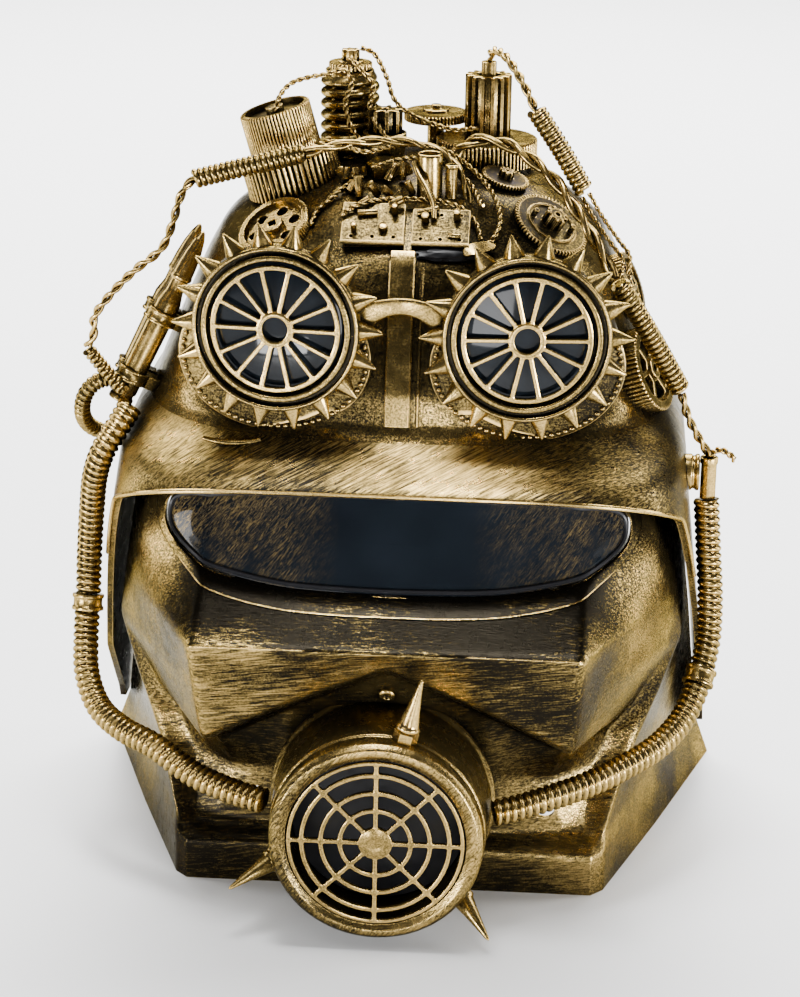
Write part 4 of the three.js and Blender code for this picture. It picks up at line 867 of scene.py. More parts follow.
# %% Face plate sheet
PLATE_WALL = 2.5
PLATE_FOLDS = {
    "rim": [(0, 0.719, 0), (0.321, 0.719, 0), (0.534, 0.719, 0), (0.611, 0.719, 0), (0.649, 0.681, 0),
            (0.817, 0.222, 0), (1, -0.319, 0)],
    "chin_top": [(0, 0.733, 0.108), (0.321, 0.733, 0.108), (0.534, 0.733, 0.108), (0.611, 0.73, 0.108),
                 (0.649, 0.689, 0.108), (0.79, 0.222, 0.108), (0.95, -0.319, 0.108)],
    "chin_ledge": [(0, 0.681, 0.139), (0.321, 0.681, 0.139), (0.519, 0.667, 0.139), (0.588, 0.659, 0.139),
                   (0.645, 0.674, 0.145), (0.79, 0.207, 0.145), (0.947, -0.319, 0.145)],
    "low": [(0, 0.726, 0.301), (0.305, 0.704, 0.289), (0.473, 0.644, 0.277), (0.603, 0.57, 0.283),
            (0.71, 0.548, 0.301), (0.832, 0.148, 0.301), (0.926, -0.319, 0.301)],
    "step_low": [(0, 0.889, 0.614), (0.29, 0.807, 0.488), (0.511, 0.719, 0.373), (0.656, 0.526, 0.373),
                 (0.756, 0.489, 0.373), (0.855, 0.133, 0.386), (0.915, -0.319, 0.386)],
    "step_high": [(0, 0.978, 0.657), (0.29, 0.93, 0.539), (0.538, 0.874, 0.422), (0.725, 0.496, 0.434),
                  (0.794, 0.444, 0.434), (0.863, 0.119, 0.434), (0.908, -0.319, 0.434)],
    "middle": [(0, 0.987, 0.675), (0.298, 0.963, 0.62), (0.55, 0.937, 0.56), (0.832, 0.407, 0.548),
               (0.861, 0.356, 0.56), (0.873, 0.104, 0.56), (0.887, -0.319, 0.56)],
    "ridge": [(0, 1, 0.697), (0.298, 1, 0.697), (0.561, 1, 0.697), (0.813, 0.437, 0.687),
              (0.84, 0.356, 0.693), (0.856, 0.089, 0.693), (0.863, -0.319, 0.693)],
    "lens_low": [(0, 0.807, 0.777), (0.305, 0.793, 0.786), (0.55, 0.733, 0.804), (0.775, 0.485, 0.813),
                 (0.813, 0.385, 0.819), (0.84, 0.089, 0.819), (0.847, -0.319, 0.819)],
    "lens_middle": [(0, 0.77, 0.886), (0.305, 0.756, 0.886), (0.55, 0.693, 0.892), (0.76, 0.47, 0.898),
                    (0.798, 0.37, 0.904), (0.829, 0.089, 0.904), (0.835, -0.319, 0.904)],
    "lens_top": [(0, 0.719, 1), (0.305, 0.704, 1), (0.534, 0.644, 0.994), (0.733, 0.456, 0.97),
                 (0.786, 0.348, 0.964), (0.821, 0.089, 0.964), (0.827, -0.319, 0.964)],
    "tuck": [(0, 0.674, 1.145), (0.305, 0.659, 1.145), (0.519, 0.593, 1.139), (0.702, 0.43, 1.12),
             (0.771, 0.333, 1.102), (0.813, 0.089, 1.084), (0.823, -0.319, 1.072)],
}
CELL, RELAX_SHARE, RELAX_ROUNDS = 2.2, 0.6, 3


def plate_grid():
    """Control points of the whole sheet, rows by columns by 3, in mm."""
    rows = []
    for half_row in PLATE_FOLDS.values():
        right_half = [(x * PLATE_HALF_WIDTH, -y * PLATE_DEPTH, z * PLATE_HEIGHT) for x, y, z in half_row]
        left_half = [(-x, y, z) for x, y, z in right_half[:0:-1]]
        rows.append([*left_half, *right_half])
    return np.array(rows)


def refined(grid, axis, cell):
    """The grid with each span along an axis cut into steps no longer than cell."""
    grid = np.moveaxis(grid, axis, 0)
    result = [grid[0]]
    for low, high in zip(grid, grid[1:]):
        steps = max(2, int(np.linalg.norm(high - low, axis=-1).max() / cell))
        result.extend(low + (high - low) * (k + 1) / steps for k in range(steps))
    return np.moveaxis(np.array(result), 0, axis)


def relaxed(grid, rounds):
    """Each inner point moved part of the way to the middle of its four neighbours."""
    for _ in range(rounds):
        middle = (grid[:-2, 1:-1] + grid[2:, 1:-1] + grid[1:-1, :-2] + grid[1:-1, 2:]) / 4
        grid = grid.copy()
        grid[1:-1, 1:-1] += RELAX_SHARE * (middle - grid[1:-1, 1:-1])
    return grid


def sheet_normals(grid):
    across = np.gradient(grid, axis=1)
    upward_run = np.gradient(grid, axis=0)
    normals = np.cross(across, upward_run)
    return normals / np.linalg.norm(normals, axis=-1, keepdims=True)


def thick_sheet(front, back):
    """Closed body between two grids of the same size, front's normals pointing out."""
    rows, columns = front.shape[:2]
    points = [Vector(p) for p in np.concatenate([front.reshape(-1, 3), back.reshape(-1, 3)])]
    layer = rows * columns
    faces = []
    for r in range(rows - 1):
        for c in range(columns - 1):
            a, b = r * columns + c, (r + 1) * columns + c
            faces.append((a, a + 1, b + 1, b))
            faces.append((layer + a, layer + b, layer + b + 1, layer + a + 1))
    border = [*range(columns), *range(2 * columns - 1, layer, columns)]
    border += [*range(layer - 2, layer - columns - 1, -1), *range(layer - 2 * columns, 0, -columns)]
    for here, there in zip(border, border[1:] + border[:1]):
        faces.append((there, here, layer + here, layer + there))
    return points, faces


plate_front = relaxed(refined(refined(plate_grid(), 1, CELL), 0, CELL), RELAX_ROUNDS)
plate_back = plate_front - sheet_normals(plate_front) * PLATE_WALL
plate_back[0, :, 2] = 0
print("plate grid:", plate_front.shape)

# %% [markdown]
# The visor's window is an oval with blunt ends, cut straight through the sheet from the front. The chin has
# two round-ended air slots. Both are prisms along Y, taken out with a Boolean, and the plate is kept inside
# the hood in the same way.

# %% Face plate
LENS_HALF_WIDTH, LENS_DROP, LENS_RISE, LENS_POWER = 89.5, 18.5, 18, 2.6
LENS_LEVEL = 0.886 * PLATE_HEIGHT
SLOT_LENGTH, SLOT_HEIGHT, SLOT_ACROSS, SLOT_LEVEL, SLOT_SLANT, SLOT_STEPS = 16, 7, 57, 34, 0.25, 10


def lens_outline(grow, count=96):
    points = []
    for k in range(count):
        angle = TURN * k / count
        c, s = math.cos(angle), math.sin(angle)
        height = (LENS_DROP if s < 0 else LENS_RISE) + grow
        points.append(((LENS_HALF_WIDTH + grow) * squared(c, LENS_POWER),
                       LENS_LEVEL + height * squared(s, LENS_POWER)))
    return points


def slot_outline(side):
    reach, end = (SLOT_LENGTH - SLOT_HEIGHT) / 2, SLOT_HEIGHT / 2
    turns = [math.pi * (k / SLOT_STEPS - 0.5) for k in range(SLOT_STEPS + 1)]
    flat = [(reach + end * math.cos(a), end * math.sin(a)) for a in turns]
    flat += [(-x, -y) for x, y in flat]
    c, s = math.cos(side * -SLOT_SLANT), math.sin(side * -SLOT_SLANT)
    return [(side * SLOT_ACROSS + x * c - y * s, SLOT_LEVEL + x * s + y * c) for x, y in flat]


def front_prism(outline):
    return skinned([[(x, y, z) for x, z in outline] for y in (-1.5 * PLATE_DEPTH, 0.0)])


inside_hood = mesh_of("inside_hood", shell_form(-SHELL_WALL - GAP, 64))
inside_hood = cut_mesh("inside_hood", inside_hood, [(mesh_of("under", below_hood(GAP)), "UNION")])
plate_cuts = [
    (mesh_of("window", front_prism(lens_outline(0))), "DIFFERENCE"),
    (mesh_of("slot", front_prism(slot_outline(-1))), "DIFFERENCE"),
    (mesh_of("slot", front_prism(slot_outline(1))), "DIFFERENCE"),
    (inside_hood, "INTERSECT"),
]
whole_sheet = mesh_of("plate", thick_sheet(plate_front, plate_back))
plate_mesh = cut_mesh("face_plate_moulding", whole_sheet, plate_cuts, 40)
add_piece("face_plate_moulding", plate_mesh, plate_gold, "aged_gold", "face_plate")
print("plate faces:", len(plate_mesh.polygons))

# %% [markdown]
# The window has a raised frame: a flat band with a groove inside it, where the visor sits. Its front follows
# the sheet, so the depth of the sheet is looked up at each point of the outline. The visor is a thin plate
# of black gloss that follows the same sheet a little deeper.

# %% Window frame and visor
def sheet_faces():
    rows, columns = plate_front.shape[:2]
    return [(r * columns + c, r * columns + c + 1, (r + 1) * columns + c + 1, (r + 1) * columns + c)
            for r in range(rows - 1) for c in range(columns - 1)]


sheet_tree = BVHTree.FromPolygons([Vector(p) for p in plate_front.reshape(-1, 3)], sheet_faces())


def sheet_depth(points):
    """Depth y of the sheet's front at (x, z) points."""
    depths = []
    for x, z in points:
        hit = sheet_tree.ray_cast(Vector((x, -FAR, z)), Vector((0, 1, 0)))[0]
        depths.append(hit.y if hit else depths[-1])
    return depths


FRAME_STEPS = [(0.15, -3.0), (0.15, 0.9), (0.7, 1.7), (3.6, 1.9), (4.5, 1.2), (4.7, -0.6)]


def frame_form():
    rings = []
    for grow, proud in FRAME_STEPS:
        outline = lens_outline(grow, 160)
        rings.append([(x, y - proud, z) for (x, z), y in zip(outline, sheet_depth(outline))])
    return skinned(rings, ends=False)


add_form("visor_frame", frame_form(), plate_gold, "aged_gold", crease=50)
GROOVE, BEAD_RADIUS = 1.5, 0.9
groove_line = lens_outline(-GROOVE, 160)
groove_points = [Vector((x, y + BEAD_RADIUS, z)) for (x, z), y in zip(groove_line, sheet_depth(groove_line))]
bead = swept([*groove_points, groove_points[0]], lambda along, angle: BEAD_RADIUS, 8)
add_form("visor_bead", bead, recess_black, "dark_plastic")


VISOR_SUNK, VISOR_BACK = 1.4, 3.9
FAN_ACROSS, FAN_DOWN = 0.75, 0.985


def visor_form():
    """The visor as a fan of rings that shrink to a line along its middle."""
    outline = lens_outline(-GAP, 128)
    front, back = [], []
    for share in np.linspace(0, 1, 14):
        across, down = 1 - FAN_ACROSS * share, 1 - FAN_DOWN * share
        points = [(x * across, LENS_LEVEL + (z - LENS_LEVEL) * down) for x, z in outline]
        depths = sheet_depth(points)
        front.append([(x, y + VISOR_SUNK, z) for (x, z), y in zip(points, depths)])
        back.append([(x, y + VISOR_BACK, z) for (x, z), y in zip(points, depths)])
    return skinned([*front[::-1], *back])


add_form("visor_plate", visor_form(), visor_finish, "dark_lens", "visor_lens")

# %% [markdown]
# A flat band runs up the middle of the dome and a thin seam beside it. The band is bent over the dome: at
# each height its section is set on the surface and pushed out along the surface's normal.

# %% Band and seam on the dome
BAND_WIDTH, BAND_THICK = 9.6, 1.6
BAND_LOW, BAND_TOP, BAND_ROWS = 189, 250, 40
SEAM_PLACE, SEAM_WIDTH = 7.6, 1.5


def front_point(x, z, stand):
    """Point in front of the shell's surface at a place across and a height."""
    width, front, _, power = section_at(z)
    place = Vector((x, -front * (1 - (abs(x) / width) ** power) ** (1 / power), z))
    return place + shell_normal(place) * stand


def laid_strip(middle, width, foot, top, low, high):
    """Strip over the front of the dome with rounded long edges."""
    edge = min(0.5, (top - foot) / 2)
    half = width / 2
    section = [(-half, foot), (-half, top - edge), (-half + edge, top), (half - edge, top),
               (half, top - edge), (half, foot)]
    levels = np.linspace(low, high, BAND_ROWS)
    return skinned([[front_point(middle + x, z, stand) for x, stand in section] for z in levels])


add_form("dome_band", laid_strip(0, BAND_WIDTH, GAP, GAP + BAND_THICK, BAND_LOW, BAND_TOP), clockwork_gold,
         "aged_gold", "centre_band")
seam = laid_strip(SEAM_PLACE, SEAM_WIDTH, -1, 0.5, BAND_LOW, BAND_TOP - 4)
add_form("dome_seam", seam, dome_gold, "aged_gold")
SCREW_PLACE, SCREW_FACING = Vector((-0.2, -115.7, 91.3)), (-0.05, -0.92, -0.39)
screw_profile = softened([(0, -1), (3.1, -1), (3.1, 0.9), (2.2, 1.6), (1.2, 1.6), (1.1, 0.6), (0, 0.6)], 0.3)
screw = placed(lathe(screw_profile, 24), frame_at(SCREW_PLACE, SCREW_FACING))
add_form("chin_screw", screw, clockwork_gold, "aged_gold")

# %% [markdown]
# ## The breathing filter
# The filter is a round can on the chin. Its outline is turned on a lathe: a drawn body, a rolled front rim,
# a fine groove behind it and a thin lip where it meets the mask. Its back is cut to the folds of the face
# plate, so it sits there without a gap that shows.

# %% Filter can
CAN_ACROSS, CAN_LEVEL = -1.6, 45
CAN_RADIUS, CAN_BACK_RADIUS, CAN_MOUTH, CAN_CAVITY = 40, 43.6, 33.8, 24
CAN_ROOT, CAN_LIP_PLACE, CAN_LIP = -64, -41, 3
can_frame = frame_at((CAN_ACROSS, CAN_FRONT, CAN_LEVEL), (0, -1, 0))
can_neck = CAN_BACK_RADIUS - CAN_LIP
can_body = [
    (0, -CAN_CAVITY - 3), (can_neck - 3, -CAN_CAVITY - 3), (can_neck - 3, CAN_ROOT), (can_neck, CAN_ROOT),
    (can_neck, CAN_LIP_PLACE), (CAN_BACK_RADIUS, CAN_LIP_PLACE), (CAN_BACK_RADIUS, CAN_LIP_PLACE + 2),
    (can_neck + 1.4, CAN_LIP_PLACE + 3.4), (40.9, -9.6), (40.1, -9.2), (40.1, -8), (40.8, -7.6), (40.3, -2.4),
    (38.6, -0.2), (36.4, 0), (34.6, -1.4), (CAN_MOUTH, -1.7), (CAN_MOUTH, -CAN_CAVITY), (0, -CAN_CAVITY),
]
seat_grid = relaxed(refined(refined(plate_grid()[:, 4:9], 1, CELL), 0, CELL), RELAX_ROUNDS)
behind_plate = seat_grid.copy()
behind_plate[..., 1] = PLATE_DEPTH
seat_mesh = mesh_of("can_seat", thick_sheet(seat_grid - np.array([0, GAP, 0]), behind_plate))
can_mesh = mesh_of("filter_can_body", placed(lathe(softened(can_body, 0.7), 112), can_frame))
can_mesh = cut_mesh("filter_can_body", can_mesh, [(seat_mesh, "DIFFERENCE")])
add_piece("filter_can_body", can_mesh, filter_gold, "aged_gold", "filter_can")
print("can faces:", len(can_mesh.polygons))

# %% [markdown]
# The grille is a cast web: eight spokes and three rings round a hub. It is one sheet cut with a hole in each
# cell, its edges well rounded. The real web is moulded a little crowned, so the hub stands proud.

# %% Grille and backing
WEB_RINGS, WEB_BAR, WEB_RIM, WEB_HUB, WEB_SPOKES = [13.3, 20.5, 27.8], 1.7, 1.5, 6.4, 8
WEB_SUNK = 0.8


def arc_cell(inner, outer, start, end, width, fillet=0.8):
    """Outline of one cell of a spoked web, between two radii and two spokes, with round corners."""
    def at(radius, share):
        low, high = start + width / 2 / radius, end - width / 2 / radius
        angle = low + (high - low) * share
        return Vector((radius * math.cos(angle), radius * math.sin(angle)))

    def arc(radius):
        trim = fillet / ((end - start) * radius - width)
        return [at(radius, share) for share in np.linspace(min(trim, 0.4), 1 - min(trim, 0.4), 10)]

    def corner(before, here, after):
        return [before * (1 - t) ** 2 + here * 2 * t * (1 - t) + after * t ** 2 for t in (0.25, 0.5, 0.75)]

    low, high = arc(inner), arc(outer)[::-1]
    near, far = inner + fillet, outer - fillet
    loop = [*low, *corner(low[-1], at(inner, 1), at(near, 1)), at(near, 1), at(far, 1)]
    loop += [*corner(at(far, 1), at(outer, 1), high[0]), *high, *corner(high[-1], at(outer, 0), at(far, 0))]
    loop += [at(far, 0), at(near, 0), *corner(at(near, 0), at(inner, 0), low[0])]
    return [tuple(point) for point in loop]


def web_cells(radii, spokes, width):
    """Cells between [inner, outer] pairs of radii."""
    pitch = TURN / spokes
    return [arc_cell(inner, outer, k * pitch, (k + 1) * pitch, width)
            for inner, outer in radii for k in range(spokes)]


web_radius = CAN_MOUTH - GAP
insides = [WEB_HUB, *[ring + WEB_BAR / 2 for ring in WEB_RINGS]]
outsides = [*[ring - WEB_BAR / 2 for ring in WEB_RINGS], web_radius - WEB_RIM]
web_radii = list(zip(insides, outsides))
web = sheet_cut(circle(web_radius, 96), web_cells(web_radii, WEB_SPOKES, WEB_BAR), 2, 0.5)
hub_profile = softened([(0, -2), (WEB_HUB, -2), (WEB_HUB, 0.3), (3.4, 0.9), (1.6, 0.5), (0, 0.5)], 0.4)
grille = joined(web, lathe(hub_profile, 40))
add_form("filter_web", placed(grille, raised(can_frame, -WEB_SUNK)), bright_gold, "bright_gold",
         "filter_grille")
backing = lathe(softened([(0, 0), (web_radius, 0), (web_radius, 1.2), (14, 2), (0, 2)], 0.4), 64)
add_form("filter_disc", placed(backing, raised(can_frame, GAP - CAN_CAVITY)), recess_black, "dark_plastic",
         "filter_backing")

# %% [markdown]
# Three spikes stand on the can, each on a hexagonal nut. The cone keeps a short collar at its foot, then runs
# to a blunted point.

# %% Spikes on the can
SPIKES = {
    "filter_spike_top": {"angle": 76, "behind": 9, "lean": 0},
    "filter_spike_left": {"angle": 203, "behind": 21, "lean": 38},
    "filter_spike_right": {"angle": 318, "behind": 21, "lean": 44},
}


def hexagon_nut(radius, low, high, chamfer=0.5):
    def ring(reach, z):
        return [(reach * math.cos(TURN * k / 6), reach * math.sin(TURN * k / 6), z) for k in range(6)]
    return skinned([ring(radius - chamfer, low), ring(radius, low + chamfer), ring(radius, high - chamfer),
                    ring(radius - chamfer, high)])


SPIKE_PROFILE = [
    (0, 5.4), (3.7, 5.4), (4.6, 6.2), (4.6, 7.4), (4.1, 7.9), (3.8, 8.6), (2.3, 16.5), (0.7, 26.2), (0, 27.2),
]
for name, spike in SPIKES.items():
    angle, lean = math.radians(spike["angle"]), math.radians(spike["lean"])
    outward = Vector((math.cos(angle), 0, math.sin(angle)))
    foot = Vector((CAN_ACROSS, 0, CAN_LEVEL)) + outward * (CAN_RADIUS - 1)
    foot.y = CAN_FRONT + spike["behind"]
    axis = outward * math.cos(lean) + Vector((0, -1, 0)) * math.sin(lean)
    hint = (0, -1, 0) if abs(axis.z) > 0.9 else (0, 0, 1)
    spike_form = joined(hexagon_nut(4.7, -0.6, 5.6), lathe(softened(SPIKE_PROFILE, 0.35, 2), 28))
    spike_form = placed(spike_form, frame_at(foot, axis, hint))
    add_form(name + "_turned", spike_form, bright_gold, "bright_gold", name)
print("spikes:", len(SPIKES))

# %% [markdown]
# ## The goggles
# Each goggle is a turned cup with a rolled rim, a dark groove and eighteen cone studs round it. In it sits a
# black lens and over that a wheel of fourteen flat spokes with an open hub. A bronze plate with a row of
# small beads joins it to the dome.

# %% Goggle parts
GOGGLES = {
    "left": {"across": -45, "drop": 45.6, "stand": 21.4, "turn": -5, "base": (-3, -14.5)},
    "right": {"across": 48.2, "drop": 46.7, "stand": 20.6, "turn": 5, "base": (1.5, -14.5)},
}
CUP_MOUTH, CUP_RADIUS, CUP_DEPTH = 26, 31.5, 14
CUP_PROFILE = [
    (CUP_MOUTH, -6), (CUP_MOUTH, -0.6), (26.4, -0.2), (27.6, -0.2), (28.2, -0.7), (28.2, -3), (29.7, -3),
    (29.8, -0.3), (30.4, 0.1), (31, 0), (CUP_RADIUS, -0.8), (CUP_RADIUS, -3), (31.1, -3.4), (31.1, -4.6),
    (CUP_RADIUS, -5), (CUP_RADIUS, -8), (29.5, -8.6), (29.5, -CUP_DEPTH), (24, -CUP_DEPTH), (24, -6),
]
STUD_PROFILE = [(0, 0), (4, 0), (4, 0.9), (0.5, 9), (0, 9.4)]
STUD_COUNT, STUD_LEAN, STUD_SUNK, STUD_BEHIND = 18, math.radians(13), 0.7, 5.6
WHEEL_RADIUS, WHEEL_HUB, WHEEL_BORE, WHEEL_RIM, WHEEL_BAR, WHEEL_SPOKES = 24.4, 7, 4.8, 1.9, 1.7, 14
WHEEL_SUNK, GLASS_RADIUS, GLASS_BACK, GLASS_EDGE, GLASS_CROWN = 0.6, 25.6, 5.65, 5.4, 1.9


def stud_forms():
    """Round studs that point outwards and lean a little to the front."""
    stud = lathe(softened(STUD_PROFILE, 0.3, 2), 28)
    lean = Matrix.Rotation(-math.pi / 2 + STUD_LEAN, 4, "X")
    studs = []
    for k in range(STUD_COUNT):
        turned = Matrix.Rotation(TURN * (k + 0.5) / STUD_COUNT, 4, "Z")
        foot = Matrix.Translation((0, CUP_RADIUS - STUD_SUNK, -STUD_BEHIND))
        studs.append(placed(stud, turned @ foot @ lean))
    return joined(*studs)


def wheel_form():
    cells = web_cells([(WHEEL_HUB, WHEEL_RADIUS - WHEEL_RIM)], WHEEL_SPOKES, WHEEL_BAR)
    flat = sheet_cut(circle(WHEEL_RADIUS, 96), [circle(WHEEL_BORE, 40), *cells], 1.6, 0.5)
    ring_profile = [(WHEEL_BORE, -1.6), (WHEEL_HUB - 0.3, -1.6), (WHEEL_HUB - 0.3, 0.5), (WHEEL_BORE, 0.5)]
    ring = lathe(softened(ring_profile, 0.5, 2, loop=True), 40)
    return lifted(joined(flat, ring), -WHEEL_SUNK)


def lens_form():
    turns = np.linspace(0, math.pi / 2, 12)
    crown = [(GLASS_RADIUS * math.sin(t), -GLASS_EDGE + GLASS_CROWN * math.cos(t)) for t in turns]
    return lathe([(0, -GLASS_BACK), (GLASS_RADIUS, -GLASS_BACK), *crown[::-1][:-1], (0, crown[0][1])], 96)


# %% [markdown]
# The plate under each cup is an oval box without a bottom, cut to fit over the dome. Small beads run round
# its edge.

# %% Goggle base
BASE_HALF = (37, 29.5)
BASE_WALL, BASE_REACH, BASE_HOLE = 3, 45, 22


def oval(half, grow, z, centre, count=96):
    turns = [TURN * k / count for k in range(count)]
    return [(centre[0] + (half[0] + grow) * math.cos(a), centre[1] + (half[1] + grow) * math.sin(a), z)
            for a in turns]


def oval_block(centre, rows):
    return skinned([oval(BASE_HALF, grow, z, centre) for grow, z in rows])


def base_mesh(name, centre, matrix):
    skirt = oval_block(centre, [(0, -BASE_REACH), (0, -1.3), (-0.4, -0.4), (-1.4, 0)])
    inside = oval_block(centre, [(-BASE_WALL, -2 * BASE_REACH), (-BASE_WALL, -BASE_WALL)])
    low, high = -2 * BASE_WALL, BASE_WALL
    hole = lathe([(0, low), (BASE_HOLE, low), (BASE_HOLE, high), (0, high)], 64)
    cutters = [(mesh_of("inside", placed(inside, matrix)), "DIFFERENCE"),
               (mesh_of("hole", placed(hole, matrix)), "DIFFERENCE"), (shell_seat, "DIFFERENCE")]
    return cut_mesh(name, mesh_of(name, placed(skirt, matrix)), cutters)


def bead_row(centre, radius, spacing):
    """Half-round beads along the edge of the plate, a little inside it."""
    bead = lathe([(0, -radius), (radius, -0.2), (0.92 * radius, 0.35 * radius), (0.6 * radius, 0.75 * radius),
                  (0, 0.95 * radius)], 10)
    outline = [Vector(p) for p in oval(BASE_HALF, -2.1, 0, centre, 400)]
    beads, run = [], spacing
    for before, here in zip(outline, outline[1:]):
        run += (here - before).length
        if run >= spacing:
            run -= spacing
            beads.append(placed(bead, Matrix.Translation(here)))
    return joined(*beads)


shell_seat = mesh_of("shell_seat", shell_form(GAP, 64))
goggle_frames = {}
for side, goggle in GOGGLES.items():
    level = SHELL_HEIGHT - goggle["drop"]
    turn = math.radians(goggle["turn"])
    centre = Vector((goggle["across"], -section_at(level)[1] - goggle["stand"], level))
    matrix = frame_at(centre, (math.sin(turn), -math.cos(turn), 0))
    goggle_frames[side] = matrix
    base_matrix = raised(matrix, -CUP_DEPTH - GAP)
    name = "goggle_" + side
    cup = lathe(softened(CUP_PROFILE, 0.25, 2, loop=True), 96)
    add_form(name + "_cup", placed(cup, matrix), ring_gold, "bright_gold", name + "_ring")
    add_form(name + "_studs", placed(stud_forms(), matrix), polished_gold, "bright_gold", crease=60)
    add_form(name + "_spokes", placed(wheel_form(), matrix), bright_gold, "bright_gold", name + "_wheel")
    add_form(name + "_glass", placed(lens_form(), matrix), lens_black, "dark_lens", name + "_lens")
    plate = base_mesh(name + "_plate", goggle["base"], base_matrix)
    add_piece(name + "_plate", plate, base_bronze, "aged_gold", name + "_base")
    beads = bead_row(goggle["base"], 1.15, 2.75)
    add_form(name + "_beads", placed(beads, base_matrix), clockwork_gold, "bright_gold", crease=60)
    print(side, "goggle plate faces:", len(plate.polygons))

# %% [markdown]
# The bridge between the cups is a saddle: a broad strap, arched up and forward, that flares where it meets
# each cup. Its flat section with rounded edges is set along an arched line, wider towards both ends.

# %% Bridge
BRIDGE_DROP, BRIDGE_ARCH, BRIDGE_BOW, BRIDGE_DEPTH = 5.5, 5, 2, 5
BRIDGE_WAIST, BRIDGE_FLARE, BRIDGE_HALF_WALL = 3.1, 2.6, 1.2
left_centre, right_centre = (goggle_frames[side].translation for side in ("left", "right"))
bridge_level = (left_centre.z + right_centre.z) / 2 + BRIDGE_DROP
bridge_reach = math.sqrt((CUP_RADIUS + 2 * GAP) ** 2 - BRIDGE_DROP ** 2)
bridge_start = Vector((left_centre.x + bridge_reach, left_centre.y + BRIDGE_DEPTH, bridge_level))
bridge_end = Vector((right_centre.x - bridge_reach, left_centre.y + BRIDGE_DEPTH, bridge_level))
bridge_rings = []
for share in np.linspace(0, 1, 33):
    rise = math.sin(math.pi * share)
    middle = bridge_start.lerp(bridge_end, share) + Vector((0, -BRIDGE_BOW * rise, BRIDGE_ARCH * rise))
    along = (bridge_end - bridge_start) * 0.32 + Vector((0, 0, BRIDGE_ARCH * math.cos(math.pi * share)))
    upright = Vector((0, -1, 0)).cross(along).normalized()
    upright = upright if upright.z > 0 else -upright
    half = BRIDGE_WAIST + BRIDGE_FLARE * abs(2 * share - 1) ** 3
    ring = []
    for k in range(24):
        angle = TURN * k / 24
        shape = Vector((squared(math.cos(angle), 4), squared(math.sin(angle), 4)))
        ring.append(middle + Vector((0, -1, 0)) * BRIDGE_HALF_WALL * shape.x + upright * half * shape.y)
    bridge_rings.append(ring)
add_form("bridge_saddle", skinned(bridge_rings), polished_gold, "bright_gold", "goggle_bridge", crease=50)

# %% [markdown]
# ## Cartridges
# Two brass cartridges hang in two clamped bands on the left side of the dome. Each is turned: a grooved foot,
# a straight case, a shoulder, a neck and a long pointed tip. The bands are rings with a lug that reaches the
# dome, made as one body with a union and cut to the cases and the dome.

# %% Cartridges and bands
CARTRIDGE_RADIUS, CARTRIDGE_BACK, CARTRIDGE_STAND = 5, 11.4, 2.6
CARTRIDGE_FOOT, CARTRIDGE_TIP = (-41.5, 176), (-30, 238)
CLAMP_WALL, CLAMP_HEIGHT = 1.9, 5
CASE_PROFILE = [
    (0, 0), (4.7, 0), (5, 0.4), (5, 1.9), (4.3, 2.5), (4.3, 3.6), (4.95, 4.4), (5, 44), (3.75, 48.6),
    (3.6, 49.4), (3.6, 53.6), (4.3, 54.2), (4.5, 55), (4.3, 55.8), (4.15, 56.2), (3.9, 61), (3.2, 66.5),
    (2.1, 71.4), (0.9, 74.3), (0, 75),
]


def beside_dome(depth, level, back):
    place = dome_side(depth + back, level, -1)
    return place + shell_normal(place) * (CARTRIDGE_RADIUS + CARTRIDGE_STAND)


cartridge_frames = []
for name, back in {"cartridge_front": 0, "cartridge_rear": CARTRIDGE_BACK}.items():
    foot, tip = beside_dome(*CARTRIDGE_FOOT, back), beside_dome(*CARTRIDGE_TIP, back)
    middle_level = (CARTRIDGE_FOOT[1] + CARTRIDGE_TIP[1]) / 2
    outward = shell_normal(dome_side(CARTRIDGE_FOOT[0] + back, middle_level, -1))
    cartridge_frames.append(frame_at(foot, tip - foot, outward))
    case = placed(lathe(softened(CASE_PROFILE, 0.3, 3), 48), cartridge_frames[-1])
    add_form(name + "_case", case, polished_gold, "bright_gold", name, crease=60)


def band_forms(low):
    """Ring round a case and the lug that reaches the dome, from a height on the case."""
    outer, top = CARTRIDGE_RADIUS + CLAMP_WALL, low + CLAMP_HEIGHT
    inner = outer - 0.4
    profile = [(0, low), (outer, low), (outer, low + 1), (inner, low + 1.3), (inner, top - 1.3),
               (outer, top - 1), (outer, top), (0, top)]
    lug = skinned([[(-4.5, -19.4, z), (4.5, -19.4, z), (4.5, -5.4, z), (-4.5, -5.4, z)] for z in (low, top)])
    return lathe(softened(profile, 0.3, 2), 40), lug


def cartridge_band(name, along):
    ring, lug = band_forms(along)
    bore = lathe([(0, -5), (CARTRIDGE_RADIUS + GAP, -5), (CARTRIDGE_RADIUS + GAP, 60), (0, 60)], 40)
    first, second = cartridge_frames
    body = mesh_of(name, placed(ring, first))
    steps = [(placed(ring, second), "UNION"), (placed(lug, first), "UNION"), (placed(lug, second), "UNION"),
             (placed(bore, first), "DIFFERENCE"), (placed(bore, second), "DIFFERENCE")]
    cutters = [(mesh_of("step", form), operation) for form, operation in steps]
    return cut_mesh(name, body, [*cutters, (shell_seat, "DIFFERENCE")])


for name, along in {"cartridge_band_upper": 35, "cartridge_band_lower": 9}.items():
    add_piece(name + "_clamp", cartridge_band(name + "_clamp", along), clockwork_gold, "aged_gold", name)
print("cartridge frames:", len(cartridge_frames))

# %% [markdown]
# ## Hoses
# The breathing hoses are ribbed tubes with a rib wound round them like a screw thread. Each follows its route
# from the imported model. A short sleeve joins the two lengths on each side, and a smaller ribbed loop sits
# behind the left one.

